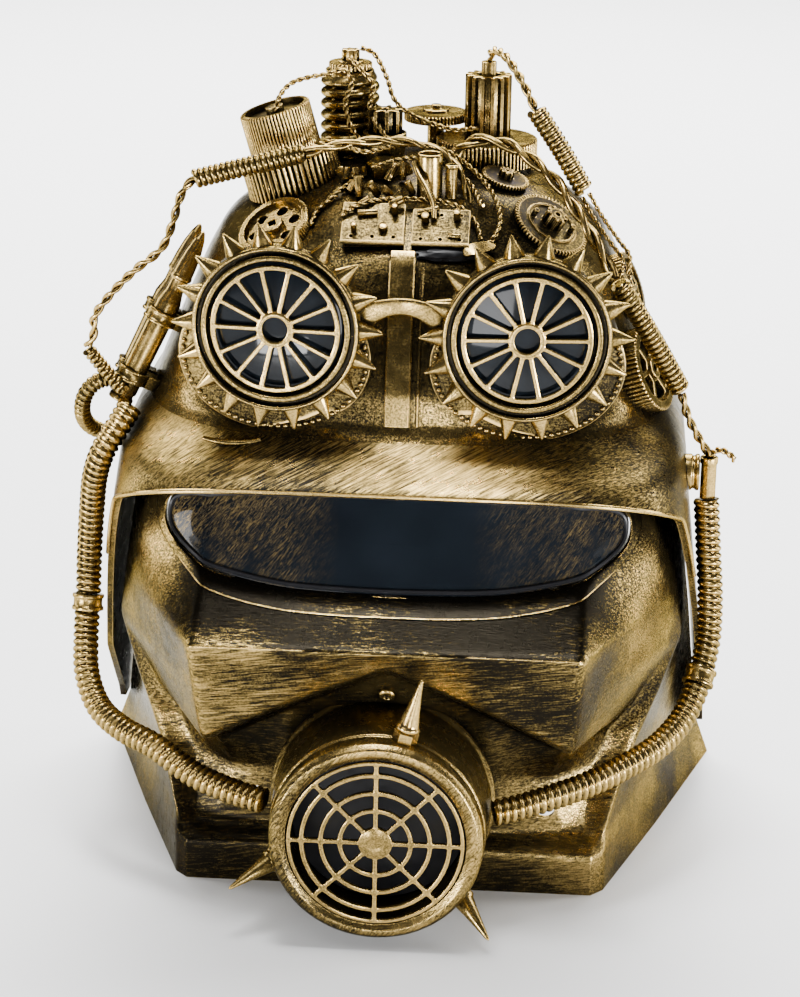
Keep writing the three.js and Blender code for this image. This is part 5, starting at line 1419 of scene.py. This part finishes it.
# %% Hoses and sleeves
HOSE_RADIUS, LOOP_RADIUS, RIB_PITCH, LOOP_PITCH = 5.2, 3.4, 2.9, 2.3
HOSE_ROUTES = {
    "hose_left_upper": [(-106.5, -56, 182), (-110.5, -62, 175.5), (-115.6, -64.5, 167), (-119.4, -62, 156),
                        (-121.6, -58, 142), (-123, -56, 128), (-123.8, -56, 114), (-123.8, -58.6, 104.4)],
    "hose_left_lower": [(-124, -60.4, 97.8), (-124.3, -63.2, 88), (-122.5, -73, 76), (-116, -84, 66.5),
                        (-105, -95, 62.5), (-92, -104, 60.5), (-73, -115.5, 53.5), (-56, -123, 50.5),
                        (-46, -126.6, 49.6)],
    "hose_left_loop": [(-110, -43, 187.4), (-116, -42, 189), (-121.6, -41.8, 187.4), (-126, -42, 182.5),
                       (-128, -39.5, 174), (-126, -33, 166), (-119, -27, 161), (-107, -22, 157)],
    "hose_right_upper": [(119.6, -44.5, 149), (120.6, -46, 138), (121.6, -48, 126), (122.9, -51, 112),
                         (123, -55, 96), (121.7, -59.3, 88), (120.7, -61.9, 84.2)],
    "hose_right_lower": [(119, -66, 78.8), (117.8, -68.9, 75.6), (112.8, -77.5, 68.2), (104, -89, 62.4),
                         (90, -102, 58.3), (76.4, -112, 55.2), (62.8, -120, 53.1), (50, -125.4, 50.6),
                         (42, -127.8, 49.4)],
}
for name, route in HOSE_ROUTES.items():
    small = name.endswith("loop")
    hose = ribbed_hose(route, LOOP_RADIUS if small else HOSE_RADIUS, LOOP_PITCH if small else RIB_PITCH)
    add_form(name + "_ribbed", hose, hose_gold, "ribbed_hose", name, crease=80)


def bar_frame(start, end):
    start, end = Vector(start), Vector(end)
    axis = end - start
    return frame_at(start, axis, (0, 1, 0) if abs(axis.normalized().z) > 0.9 else (0, 0, 1)), axis.length


def hose_sleeve(name, above, below):
    start, end = Vector(above[-1]), Vector(below[0])
    matrix, length = bar_frame(start, end)
    low, high, outer = 0.2, length - 0.2, HOSE_RADIUS + 1.1
    inner = outer - 0.6
    profile = [(0, low), (outer, low), (outer, low + 1.4), (inner, low + 1.8), (inner, high - 1.8),
               (outer, high - 1.4), (outer, high), (0, high)]
    sleeve = placed(lathe(softened(profile, 0.3, 2), 40), matrix)
    add_form(name + "_sleeve", sleeve, bright_gold, "bright_gold", name)
    print(name, "length in mm:", round(length, 1))


hose_sleeve("hose_left_joint", HOSE_ROUTES["hose_left_upper"], HOSE_ROUTES["hose_left_lower"])
hose_sleeve("hose_right_joint", HOSE_ROUTES["hose_right_upper"], HOSE_ROUTES["hose_right_lower"])

# %% [markdown]
# The right hose starts under a turned boss on the side of the helmet. Beside it stands a short open tube, and
# a twisted wire comes out of it.

# %% Boss and wire tube
BOSS_RADIUS, BOSS_STAND, BOSS_DEPTH, BOSS_LEVEL = 7.2, 4.7, -47, 161
boss_seat = dome_side(BOSS_DEPTH, BOSS_LEVEL, 1)
boss_frame = frame_at(boss_seat, (1, 0, 0))
boss_profile = [(0, -13.5), (BOSS_RADIUS, -13.5), (BOSS_RADIUS, 1.6), (6.5, 2.1), (6.5, 2.9),
                (BOSS_RADIUS, 3.4), (BOSS_RADIUS, BOSS_STAND), (4.4, BOSS_STAND), (3.9, 3.6), (0, 3.6)]
boss = mesh_of("boss", placed(lathe(softened(boss_profile, 0.35, 2), 48), boss_frame))
boss = cut_mesh("hose_right_boss_turned", boss, [(shell_seat, "DIFFERENCE")])
add_piece("hose_right_boss_turned", boss, polished_gold, "bright_gold", "hose_right_boss")
TUBE_RADIUS, TUBE_BELOW, TUBE_ABOVE, TUBE_DEPTH = 3.1, 11.4, 5.6, -44.4
tube_foot = Vector((boss_seat.x + BOSS_STAND + TUBE_RADIUS + 2 * GAP, TUBE_DEPTH, BOSS_LEVEL - TUBE_BELOW))
tube_top = TUBE_BELOW + TUBE_ABOVE
tube_profile = [(0, 0), (TUBE_RADIUS, 0), (TUBE_RADIUS, tube_top - 3), (TUBE_RADIUS + 0.4, tube_top - 2.4),
                (TUBE_RADIUS + 0.4, tube_top), (2.2, tube_top), (2.2, tube_top - 5), (0, tube_top - 5)]
tube = placed(lathe(softened(tube_profile, 0.3, 2), 36), Matrix.Translation(tube_foot))
add_form("wire_tube_turned", tube, polished_gold, "bright_gold", "wire_tube")
FRAYED = [(120, -44.4, 164), (121, -45, 168.5), (124, -47, 170.5), (127.5, -48, 169), (129.5, -47, 166.5)]
add_form("wire_frayed", twisted_wire(FRAYED, 0.7, 6), wire_gold, "gold_wire", crease=70)
print("boss seat:", tuple(round(v, 1) for v in boss_seat))

# %% [markdown]
# ## Coils and wires
# A coil is one wire wound closely along a line. A thin wire is two strands twisted round each other, and the
# thick one on the right is two heavier strands that turn more slowly. Each strand is its own swept tube.

# %% Coils
COILS = {
    "coil_left_top": (3.9, [(-80.6, -51.4, 272.8), (-60.5, -47.9, 277.6), (-40.4, -43.4, 282)]),
    "coil_left_small": (2.9, [(-123.6, -46.8, 202), (-118, -46.2, 194.6), (-110, -47, 186)]),
    "coil_right_upper": (4.0, [(47.5, -30, 298.4), (57.6, -35.3, 284.8), (67, -40, 270.4)]),
    "coil_right_lower": (4.1, [(81.6, -57.4, 239), (94.8, -54.1, 217.4), (107.2, -50.2, 195.4)]),
}
COIL_WIRE = 1.1
for name, (radius, route) in COILS.items():
    form = wound_coil(route, radius, COIL_WIRE)
    core = swept(smooth_route(route, 4), lambda along, angle: radius - 1.5 * COIL_WIRE, 12)
    add_form(name + "_wound", joined(form, core), polished_gold, "bright_gold", name, crease=80)

# %% [markdown]
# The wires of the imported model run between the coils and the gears. The bundles in the middle and on the
# right have heavier strands, and the thin wire on the right is two pairs that run side by side.

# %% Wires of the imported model
WIRES = {
    "wire_left": [(-78, -50.9, 273.4), (-81.8, -52.5, 272.2), (-86, -55, 266), (-88.5, -56, 257),
                  (-93, -56, 246.5), (-103.4, -56, 237.5), (-114, -54, 226.2), (-120.4, -52, 216.6),
                  (-121, -49.4, 209.6), (-124, -47, 203.6)],
    "wire_right_end": [(107.6, -49.8, 193.6), (110.5, -48, 184), (115.6, -45.5, 174), (119.7, -44.3, 167.4)],
    "wire_pinion": [(28.5, 7.2, 310.4), (29.2, 3.6, 314.2), (34.5, -9, 315), (41, -20, 308.6),
                    (47.2, -29.8, 299)],
}
for name, route in WIRES.items():
    add_form(name + "_twisted", twisted_wire(route, 0.92, 13), wire_gold, "gold_wire", name, crease=70)
CENTRE_BUNDLE = [(-39.8, -43.3, 282.1), (-27, -38, 284.5), (-12, -33, 285.5), (2, -31.5, 284.5),
                 (14, -33, 280), (21, -38, 272), (24, -42, 262)]
bundle = twisted_wire(CENTRE_BUNDLE, 1.05, 24)
add_form("wire_centre_bundle", bundle, wire_gold, "gold_wire", "wire_centre", crease=70)
THICK_ROUTE = [(14, -20, 268), (17, -21, 279), (24, -22, 284), (34, -24, 284.4), (44, -30, 281),
               (55, -38, 274), (64, -46, 264.5), (73, -53, 252), (79.6, -57, 240.8)]
strands = twisted_wire(THICK_ROUTE, 1.4, 27)
add_form("wire_right_strands", strands, wire_gold, "bright_gold", "wire_right_thick", crease=70)
THIN_ROUTE = [(67.6, -40.6, 268.6), (72, -44, 262), (79, -49.5, 253.5), (83.8, -54, 248), (83.4, -57, 242)]
thin_pair = joined(*[twisted_wire([Vector(p) + Vector(step) for p in THIN_ROUTE], 0.5, 6)
                     for step in ((1.3, 0.3, 0.8), (-1.2, 0, -0.9))])
add_form("wire_right_pair", thin_pair, wire_gold, "gold_wire", "wire_right_thin", crease=70)

# %% [markdown]
# More thin wire is looped between the gears by hand, and that tangle gives the top of the mask its look. The
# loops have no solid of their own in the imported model, because they carry nothing.

# %% Loose loops between the gears
LOOPS = {
    "loop_pulley": [(-53.1, -20.9, 292.8), (-52.2, -17.7, 297.7), (-48.5, -12.3, 302.1), (-42, -9, 304.2),
                    (-35.5, -8, 305.3), (-27.9, -8, 307.2), (-24.9, -8, 302.6), (-27.1, -8, 295.5),
                    (-25.5, -9, 286.8), (-20.8, -12, 280)],
    "loop_worm_top": [(-22.5, 8, 313.2), (-17.5, 6.5, 311.5), (-12.2, 4, 303), (-8.7, 2, 294.2),
                      (-2.3, 0, 289), (5.8, 0, 285.6), (15.1, -1, 283.6), (24.6, -1.8, 284.7)],
    "loop_worm_front": [(-26.1, -3, 311.4), (-20.6, -5, 306), (-16.8, -5.5, 301.4), (-17.8, -7, 292.4),
                        (-12.9, -17, 286.9), (-8, -19.7, 280.6)],
    "loop_large": [(-42.5, -35, 278.2), (-36.2, -30, 282.4), (-29.2, -28, 283.4), (-18.7, -28, 279.8),
                   (-7.8, -29, 282.6), (0, -29, 284), (12.6, -28, 281.5), (23.3, -31, 275.5),
                   (32.8, -42.6, 267.7), (35.6, -52.5, 260.1), (33, -58.9, 254.7), (28.7, -62.4, 252)],
    "loop_small": [(-14.7, -31.8, 274.5), (-5.7, -31, 277.7), (6.2, -33, 279.4), (14.7, -34, 276.6),
                   (23.3, -37.5, 270.9), (28.5, -48.6, 265.1)],
    "loop_plates": [(-24.4, -58.5, 261.6), (-22.4, -57.7, 263.6), (-16.7, -54.7, 266), (-7.2, -50.4, 267),
                    (2.8, -50.6, 267.4), (12.6, -50.8, 266.9), (21.1, -51.5, 264.5), (26.6, -54.7, 259.6),
                    (28.5, -58.9, 254.5)],
    "loop_gear": [(-36.5, -53, 256.7), (-34, -47.6, 261.2), (-29.7, -44.7, 264.6), (-24.2, -37.5, 268.5),
                  (-18.6, -31.4, 271.1)],
}
for name, route in LOOPS.items():
    add_form(name, twisted_wire(route, 0.56, 6.2), wire_gold, "gold_wire", crease=70)
print("loops:", len(LOOPS))

# %% [markdown]
# ## Clockwork
# Old clock parts are glued to the dome. Their rims are knurled: cut with many fine grooves. A knurled body is
# skinned through a few rings whose radius rises and falls once for each groove. Bodies that stand on the
# curved dome are cut to its surface.

# %% Knurled bodies and seats


def knurled(radius, teeth, depth, low, high, inner=0.0, chamfer=0.5, square=0.55):
    """Knurled disc, or a ring if it has an inner radius."""
    def ring(shrink, z):
        points = []
        for k in range(teeth * 6):
            wave = abs(math.cos(math.pi * k / 6)) ** square
            reach = radius - shrink - depth * (1 - wave)
            angle = TURN * k / (teeth * 6)
            points.append((reach * math.cos(angle), reach * math.sin(angle), z))
        return points

    def bore(z):
        return [(inner * math.cos(TURN * k / (teeth * 6)), inner * math.sin(TURN * k / (teeth * 6)), z)
                for k in range(teeth * 6)]

    rings = [ring(chamfer, low), ring(0, low + chamfer), ring(0, high - chamfer), ring(chamfer, high)]
    if inner > 0:
        return skinned([*rings, bore(high), bore(low)], loop=True)
    return skinned(rings)


def on_dome(across, depth, sink, lean=None):
    place = dome_top(across, depth)
    outward = Vector(lean).normalized() if lean else shell_normal(place)
    return frame_at(place - outward * sink, outward, (0, 1, 0))


def add_seated(name, forms, matrix, finish, slot, *stands_for, crease=CREASE):
    """Piece whose first form is cut to the dome, with the others joined to it."""
    foot, *others = forms
    base = cut_mesh(name, mesh_of(name, placed(foot, matrix), crease), [(shell_seat, "DIFFERENCE")], crease)
    work = bmesh.new()
    work.from_mesh(base)
    for form in others:
        work.from_mesh(mesh_of("extra", placed(form, matrix), crease))
    work.to_mesh(base)
    work.free()
    return add_piece(name, base, finish, slot, *stands_for)


# %% [markdown]
# The pulley stands at the left: a coarse gear below and a finely knurled drum on it, with a sunk dark top and
# a small hub.

# %% Pulley
pulley_frame = on_dome(-46.4, -16, 4, (-0.28, -0.04, 1))
PULLEY_GEAR_TOP = 13.5
add_seated("pulley_gear_knurled", [knurled(19, 52, 1.5, 0, PULLEY_GEAR_TOP)], pulley_frame, clockwork_gold,
           "aged_gold", "pulley_gear")
drum_wall = knurled(14, 64, 0.8, 0, 19, 12, 0.6)
DRUM_FLOOR = [(0, 1), (12.2, 1), (12.2, 16.4), (4, 16.4), (3.6, 17), (3.6, 19.6), (1.6, 20), (0, 20)]
drum_floor = lathe(softened(DRUM_FLOOR, 0.3, 2), 56)
drum_frame = raised(pulley_frame, PULLEY_GEAR_TOP + GAP)
add_form("pulley_drum_knurled", placed(drum_wall, drum_frame), clockwork_gold, "aged_gold", "pulley_drum")
add_form("pulley_drum_top", placed(drum_floor, drum_frame), base_bronze, "aged_gold")

# %% [markdown]
# The worm is a thick screw. Its surface is skinned through rings up its height: the radius at each point
# depends on the height and the angle together, which makes the thread wind round.

# %% Worm
WORM_ROOT, WORM_THREAD, WORM_TURNS, WORM_HEIGHT, WORM_SINK = 9, 11.7, 8, 36, 2


def worm_form(steps=10, sides=56):
    rings = []
    for k in range(WORM_TURNS * steps + 1):
        height = WORM_HEIGHT * k / (WORM_TURNS * steps)
        taper = min(1.0, k / steps, (WORM_TURNS * steps - k) / steps)
        ring = []
        for j in range(sides):
            angle = TURN * j / sides
            wave = abs(math.sin(math.pi * (k / steps - j / sides))) ** 0.6
            radius = WORM_ROOT + (WORM_THREAD - WORM_ROOT) * wave * max(taper, 0.3)
            ring.append((radius * math.cos(angle), radius * math.sin(angle), height))
        rings.append(ring)
    return skinned(rings)


worm_frame = on_dome(-26.5, 6, WORM_SINK, (0, 0, 1))
add_seated("worm_screw", [worm_form()], worm_frame, bright_gold, "aged_gold", "worm", crease=60)
worm_disc = knurled(8.6, 30, 0.8, 0, 2.6, 0, 0.3)
worm_top = lifted(sheet_cut(toothed(3.6, 7, 1), [], 5.2, 0.3), 7.6)
worm_boss = lathe(softened([(0, 2.4), (5.2, 2.4), (5.2, 3.2), (0, 3.2)], 0.3, 2), 32)
worm_cap = placed(joined(worm_disc, worm_boss, worm_top), raised(worm_frame, WORM_HEIGHT + GAP))
add_form("worm_cap", worm_cap, bright_gold, "bright_gold", "worm_pinion")

# %% [markdown]
# In the middle a pinion with deep teeth sits in a cup. In front of it is the head of a hexagon bolt.

# %% Cup, pinion and bolt
cup_frame = on_dome(-11.5, -9, 2, (0, 0, 1))
PINION_CUP = [(0, 0), (7.1, 0), (8.2, 7), (8.6, 8.6), (8.6, 13.2), (7.7, 13.5), (7.5, 12.4), (0, 12.4)]
pinion_cup = lathe(softened(PINION_CUP, 0.3, 2), 48)
deep_pinion = lifted(sheet_cut(toothed(6.9, 9, 2.3, 0.46), [circle(1.3, 20)], 10.4, 0.35), 22.5)
add_seated("centre_pinion_cup", [pinion_cup, deep_pinion], cup_frame, clockwork_gold, "aged_gold",
           "centre_pinion")
bolt_frame = on_dome(-10.5, -23.5, 3)
bolt_rim = lathe(softened([(0, 6.2), (6, 6.2), (5.2, 7.9), (0, 8.1)], 0.3, 2), 48)
add_seated("bolt_hexagon", [hexagon_nut(6.9, 0, 7.4, 0.7), bolt_rim], bolt_frame, bright_gold, "bright_gold",
           "bolt_head")
print("bolt at:", tuple(round(v, 1) for v in bolt_frame.translation))

# %% [markdown]
# Two knurled discs stand at the back and right. The right one carries a tall pinion with fourteen deep teeth,
# and a wire starts from its hub.

# %% Discs and tall pinion
middle_frame = on_dome(7, 18, 2, (0, 0, 1))
middle_post = lathe(softened([(0, 0), (3.4, 0), (3.4, 13.2), (0, 13.2)], 0.3, 2), 32)
middle_disc = knurled(12.9, 54, 0.8, 13, 16.6, 0, 0.4)
MIDDLE_HUB = [(0, 16.4), (5.4, 16.4), (5, 17.6), (2.2, 17.8), (2, 19.4), (0, 19.4)]
middle_forms = [middle_post, middle_disc, lathe(softened(MIDDLE_HUB, 0.3, 2), 36)]
add_seated("disc_middle_knurled", middle_forms, middle_frame, clockwork_gold, "aged_gold", "disc_middle")
right_frame = on_dome(28, 7.5, 1.8, (0, 0, 1))
RIGHT_TOP = 10
right_disc = knurled(20, 72, 1, 0, RIGHT_TOP, 0, 0.5)
add_seated("disc_right_knurled", [right_disc], right_frame, clockwork_gold, "aged_gold", "disc_right")
TALL_HEIGHT = 25
tall_teeth = sheet_cut(toothed(9.2, 14, 2, 0.5), [circle(4.6, 36)], TALL_HEIGHT, 0.4)
TALL_CORE = [(0, 0.6), (4.8, 0.6), (4.8, 23.4), (3, 23.4), (3, 30), (1.2, 30), (1.2, 28.6), (0, 28.6)]
tall = joined(lifted(tall_teeth, TALL_HEIGHT), lathe(softened(TALL_CORE, 0.3, 2), 36))
tall = placed(tall, raised(right_frame, RIGHT_TOP + GAP))
add_form("pinion_tall_cut", tall, bright_gold, "bright_gold", "pinion_tall")

# %% [markdown]
# The flat gears lie on the dome. The left one has a raised knurled rim, a sunk web with six holes and a hub
# with a square bore. The right one and the small one are thin toothed discs on a hidden seat, with a pinion.

# %% Flat gears
GEAR_SINK, BEHIND_LEFT, BEHIND_RIGHT = 2.2, 51.86, 60.3
gear_left_frame = on_dome(-50, goggle_frames["left"].translation.y + BEHIND_LEFT, GEAR_SINK)
holes = [circle(2.3, 20, (8.4 * math.cos(TURN * k / 6), 8.4 * math.sin(TURN * k / 6))) for k in range(6)]
square = [(1.5, 1.5), (-1.5, 1.5), (-1.5, -1.5), (1.5, -1.5)]
left_web = lifted(sheet_cut(circle(12.6, 64), [*holes, square], 1.6, 0.2), 3.9)
left_hub = lifted(sheet_cut(circle(4.2, 32), [square], 2.6, 0.3), 6.2)
left_forms = [knurled(14.6, 72, 0.55, 0, 5.6, 12.2, 0.4), left_web, left_hub]
add_seated("gear_left_rim", left_forms, gear_left_frame, bright_gold, "bright_gold", "gear_left")
gear_right_frame = on_dome(54, goggle_frames["right"].translation.y + BEHIND_RIGHT, GEAR_SINK)
right_web = lifted(sheet_cut(toothed(15.6, 64, 1.3, 0.55), [circle(1, 16)], 1.5, 0.2), 4.4)
right_seat = lathe(softened([(0, 0), (11, 0), (11, 3.4), (0, 3.4)], 0.3, 2), 48)
right_ring = lathe(softened([(9.2, 4.2), (10.4, 4.2), (10.4, 5.1), (9.2, 5.1)], 0.3, 2, loop=True), 64)
right_pinion = lifted(sheet_cut(toothed(4.4, 9, 1.3), [circle(1.1, 16)], 5.6, 0.25), 9.6)
post = lathe(softened([(0, 3), (1.1, 3), (1.1, 7.6), (0, 7.6)], 0.2, 2), 16)
posts = [placed(post, Matrix.Translation((7.8 * side, 1.5 * side, 0))) for side in (-1, 1)]
right_forms = [right_seat, right_web, right_ring, right_pinion, *posts]
add_seated("gear_right_rim", right_forms, gear_right_frame, base_bronze, "bright_gold", "gear_right")
small_frame = on_dome(36, -21, GEAR_SINK)
small_seat = lathe(softened([(0, 0), (6.5, 0), (6.5, 3.2), (0, 3.2)], 0.3, 2), 36)
small_web = lifted(sheet_cut(toothed(9.4, 44, 1.1, 0.55), [circle(1.2, 16)], 1.4, 0.2), 4.2)
small_hub = lifted(sheet_cut(toothed(3, 8, 0.9), [circle(0.8, 12)], 3, 0.2), 6.9)
small_forms = [small_seat, small_web, small_hub]
add_seated("gear_small_rim", small_forms, small_frame, base_bronze, "bright_gold", "gear_small")

# %% [markdown]
# Two more gears lean against the dome behind the right goggle. Each has a knurled rim, a sunk web of six
# windows over a floor, and a flat hub. Their frames look out along the surface's normal.

# %% Gears at the right temple
TEMPLE_GEARS = {
    "gear_temple_upper": {"depth": -22, "level": 228, "radius": 13, "top": 7.2, "teeth": 44},
    "gear_temple_lower": {"depth": -39.7, "level": 199, "radius": 17, "top": 8.2, "teeth": 56},
}
for name, gear in TEMPLE_GEARS.items():
    place = dome_side(gear["depth"], gear["level"], 1)
    outward = shell_normal(place)
    matrix = frame_at(place - outward * GEAR_SINK, outward)
    radius, top = gear["radius"], gear["top"]
    rim = knurled(radius, gear["teeth"], 0.9, 0, top, 0.78 * radius, 0.4)
    cells = web_cells([(0.3 * radius, 0.7 * radius)], 6, 2)
    web = lifted(sheet_cut(circle(0.8 * radius, 64), [circle(1.6, 20), *cells], 1.8, 0.3), top - 1)
    floor_disc = lathe([(0, 2.6), (0.8 * radius, 2.6), (0.8 * radius, 3.6), (0, 3.6)], 48)
    hub = lifted(sheet_cut(circle(0.24 * radius, 32), [circle(1.6, 20)], 2.6, 0.3), top + 0.4)
    add_seated(name + "_rim", [rim, web, floor_disc, hub], matrix, clockwork_gold, "aged_gold", name)
print("temple gears:", len(TEMPLE_GEARS))

# %% [markdown]
# ## Small parts in the middle
# Over the upper end of the band lie two thin plates on dark blocks, with scraps of clock parts glued on: a
# little canister and a tube, a bent rod, pins and screws. They are small, but they fill the middle of the
# photo, so each has its own rounded form.

# %% Canister and tube
canister_frame = on_dome(8, -39.5, 2, (0, 0, 1))
CANISTER = [(0, 0), (4.9, 0), (4.9, 16.2), (4.6, 17), (4, 17), (3.8, 16.4), (3.8, 14.6), (0, 14.6)]
canister = lathe(softened(CANISTER, 0.3, 2), 40)
add_seated("canister_turned", [canister], canister_frame, bright_gold, "bright_gold", "canister")
tube_frame = on_dome(16.4, -40.5, 1.5, (0, 0, 1))
SMALL_TUBE = [(0, 0), (2.3, 0), (2.3, 12), (2.6, 12.4), (2.6, 13.4), (1.7, 13.6), (1.6, 11), (0, 11)]
small_tube = lathe(softened(SMALL_TUBE, 0.2, 2), 28)
add_seated("tube_small", [small_tube], tube_frame, bright_gold, "bright_gold")

# %% [markdown]
# Each plate is a block with a thin sheet on it. The sheet has six pin holes, and its front edge is folded to
# a round bead.

# %% Plates
STRAP_PLATES = {
    "plate_left": {"across": -12, "depth": -57, "size": (24, 19, 7)},
    "plate_right": {"across": 13.6, "depth": -57.4, "size": (22, 17, 6)},
}
SQUARE_CORNERS = ((-1, -1), (1, -1), (1, 1), (-1, 1))
SHEET_STAND = 0.2
plate_frames = {}
for name, plate in STRAP_PLATES.items():
    place = dome_top(plate["across"], plate["depth"])
    outward = shell_normal(place)
    outward.x = 0
    matrix = frame_at(place, outward, (0, 1, 0))
    width, length, thickness = plate["size"]
    top = thickness / 2
    block = skinned([[(x * (width / 2 - 1.2), y * (length / 2 - 1), z) for x, y in SQUARE_CORNERS]
                     for z in (-top, top - 1.1)])
    outline = softened([(x * width / 2, y * length / 2) for x, y in SQUARE_CORNERS], 1.2, 3, loop=True)
    pins = [circle(0.7, 12, (x, y)) for x in (-width / 3, 0, width / 3) for y in (-length / 3, length / 3)]
    sheet = lifted(sheet_cut(outline, pins, 1.2, 0.25), top + SHEET_STAND)
    front_edge = [Vector((x * width / 2, -length / 2 + 0.4, top)) for x in (-1, 1)]
    fold = swept(front_edge, lambda along, angle: 0.7, 10)
    plate_frames[name] = raised(matrix, top + SHEET_STAND)
    add_seated(name + "_folded", [block, sheet, fold], matrix, base_bronze, "aged_gold", name)
print("plates:", len(plate_frames))

# %% [markdown]
# The scraps on the plates and behind them are short rods with rounded ends. Those on the plates stand or lie
# at chosen places, and those behind them are scattered over the dome by chance.

# %% Scraps on the plates


def little_rod(start, end, radius, sides=14):
    matrix, length = bar_frame(start, end)
    profile = [(0, 0), (radius, 0), (radius, length), (0, length)]
    return placed(lathe(softened(profile, 0.25, 2), sides), matrix)


left_scraps = joined(
    little_rod((-7, -4, 0.6), (-7, -4, 4.6), 1.1), little_rod((-6, 3.5, 1.2), (1.5, 4.2, 1.4), 1.3),
    little_rod((4, -3, 0.4), (4, -3, 2.8), 1.7), little_rod((8, 4.5, 0.3), (8, 4.5, 5.5), 1.2),
    little_rod((-9.5, 6, 0), (-2, 9, 3.5), 0.9), little_rod((6, 7, 2), (11, 8.5, 4), 1.6),
)
add_form("scraps_left", placed(left_scraps, plate_frames["plate_left"]), bright_gold, "bright_gold")
right_scraps = joined(
    little_rod((-6, 2.5, 0.2), (-6, 2.5, 4.2), 1.5), little_rod((6, 4, 0.2), (6, 4, 5), 1.4),
    little_rod((3, -4, 0.4), (7.5, -4.6, 0.9), 1.1), little_rod((-9, 5.5, 1), (-1, 7.2, 2.4), 1.2),
)
add_form("scraps_right", placed(right_scraps, plate_frames["plate_right"]), bright_gold, "bright_gold")
BENT_ROD = [(2, -40, 279), (3.5, -44, 276.5), (8, -50.5, 270.8), (10.4, -54.6, 266.2), (10.8, -58.6, 262)]
add_form("rod_bent", plain_wire(BENT_ROD, 1.2, 14, 0.8), bright_gold, "bright_gold", crease=60)
tangle = []
for k in range(16):
    x, y = random.uniform(-26, 3), random.uniform(-44, -27)
    foot = dome_top(x, y) + Vector((0, 0, random.uniform(-0.5, 2)))
    tip = foot + Vector((random.uniform(-4, 4), random.uniform(-3, 3), random.uniform(2.5, 8)))
    tangle.append(little_rod(foot, tip, random.uniform(0.7, 1.9), 10))
add_form("scraps_middle", joined(*tangle), clockwork_gold, "bright_gold")

# %% [markdown]
# A thin leaf of brass is caught at the end of the loops on the right. A dark lump of glue shows under the
# plate beside it, and a thin curled lip stands on the brow below the left goggle.

# %% Leaf, glue and curled lip
LEAF_CUP, LEAF_DROOP = 0.09, 0.02
leaf_frame = frame_at(front_point(28, 250, 4), (0.1, -0.5, 0.86), (0.8, 0.2, 0.5))
leaf_outline = [(-2.2, -6), (0.4, -7), (2.4, -4), (2.9, 1), (1.4, 6), (-0.6, 7.4), (-2.4, 3.5), (-3, -1.5)]
leaf_points, leaf_faces = sheet_cut(softened(leaf_outline, 1.5, 3, loop=True), [], 0.9, 0.2)
leaf_bent = [Vector((p.x, p.y, p.z + LEAF_CUP * p.x ** 2 - LEAF_DROOP * p.y ** 2)) for p in leaf_points]
add_form("leaf_brass", placed((leaf_bent, leaf_faces), leaf_frame), wire_gold, "bright_gold")


def glue_lump(centre, size, normal, waves):
    """Flattened lump with a wavy surface, its back in the dome."""
    rows, columns = 14, 28
    points = []
    for r in range(rows + 1):
        lift = math.pi * r / rows
        ring = []
        for c in range(columns):
            turn = TURN * c / columns
            wave = 1 + 0.12 * math.sin(waves * turn + 2 * r) + 0.06 * math.sin(3 * waves * turn)
            ring.append((size[0] * wave * math.sin(lift) * math.cos(turn),
                         size[1] * wave * math.sin(lift) * math.sin(turn), size[2] * math.cos(lift)))
        points.append(ring)
    points[0] = [(x * 0.02, y * 0.02, size[2]) for x, y, _ in points[1]]
    points[-1] = [(x * 0.02, y * 0.02, -size[2]) for x, y, _ in points[-2]]
    return placed(skinned(points[::-1]), frame_at(centre, normal))


lump_place = front_point(17, 250, 0.6)
lump = glue_lump(lump_place, (12, 3.2, 1.7), shell_normal(lump_place), 3)
add_form("glue_right", lump, recess_black, "dark_plastic")
LIP_LENGTH, LIP_THIN, LIP_SWELL = 22, 0.8, 0.5
lip_place = Vector((-62.2, -89.4, 179.6))
lip_rail = [lip_place + Vector((x, -0.4 * abs(x) / 10, 1 + 0.014 * x * x)) for x in np.linspace(-11, 11, 23)]


def lip_reach(along, angle):
    return LIP_THIN + LIP_SWELL * math.sin(math.pi * min(along, LIP_LENGTH) / LIP_LENGTH)


add_form("lip_left", swept(lip_rail, lip_reach, 12), clockwork_gold, "aged_gold")
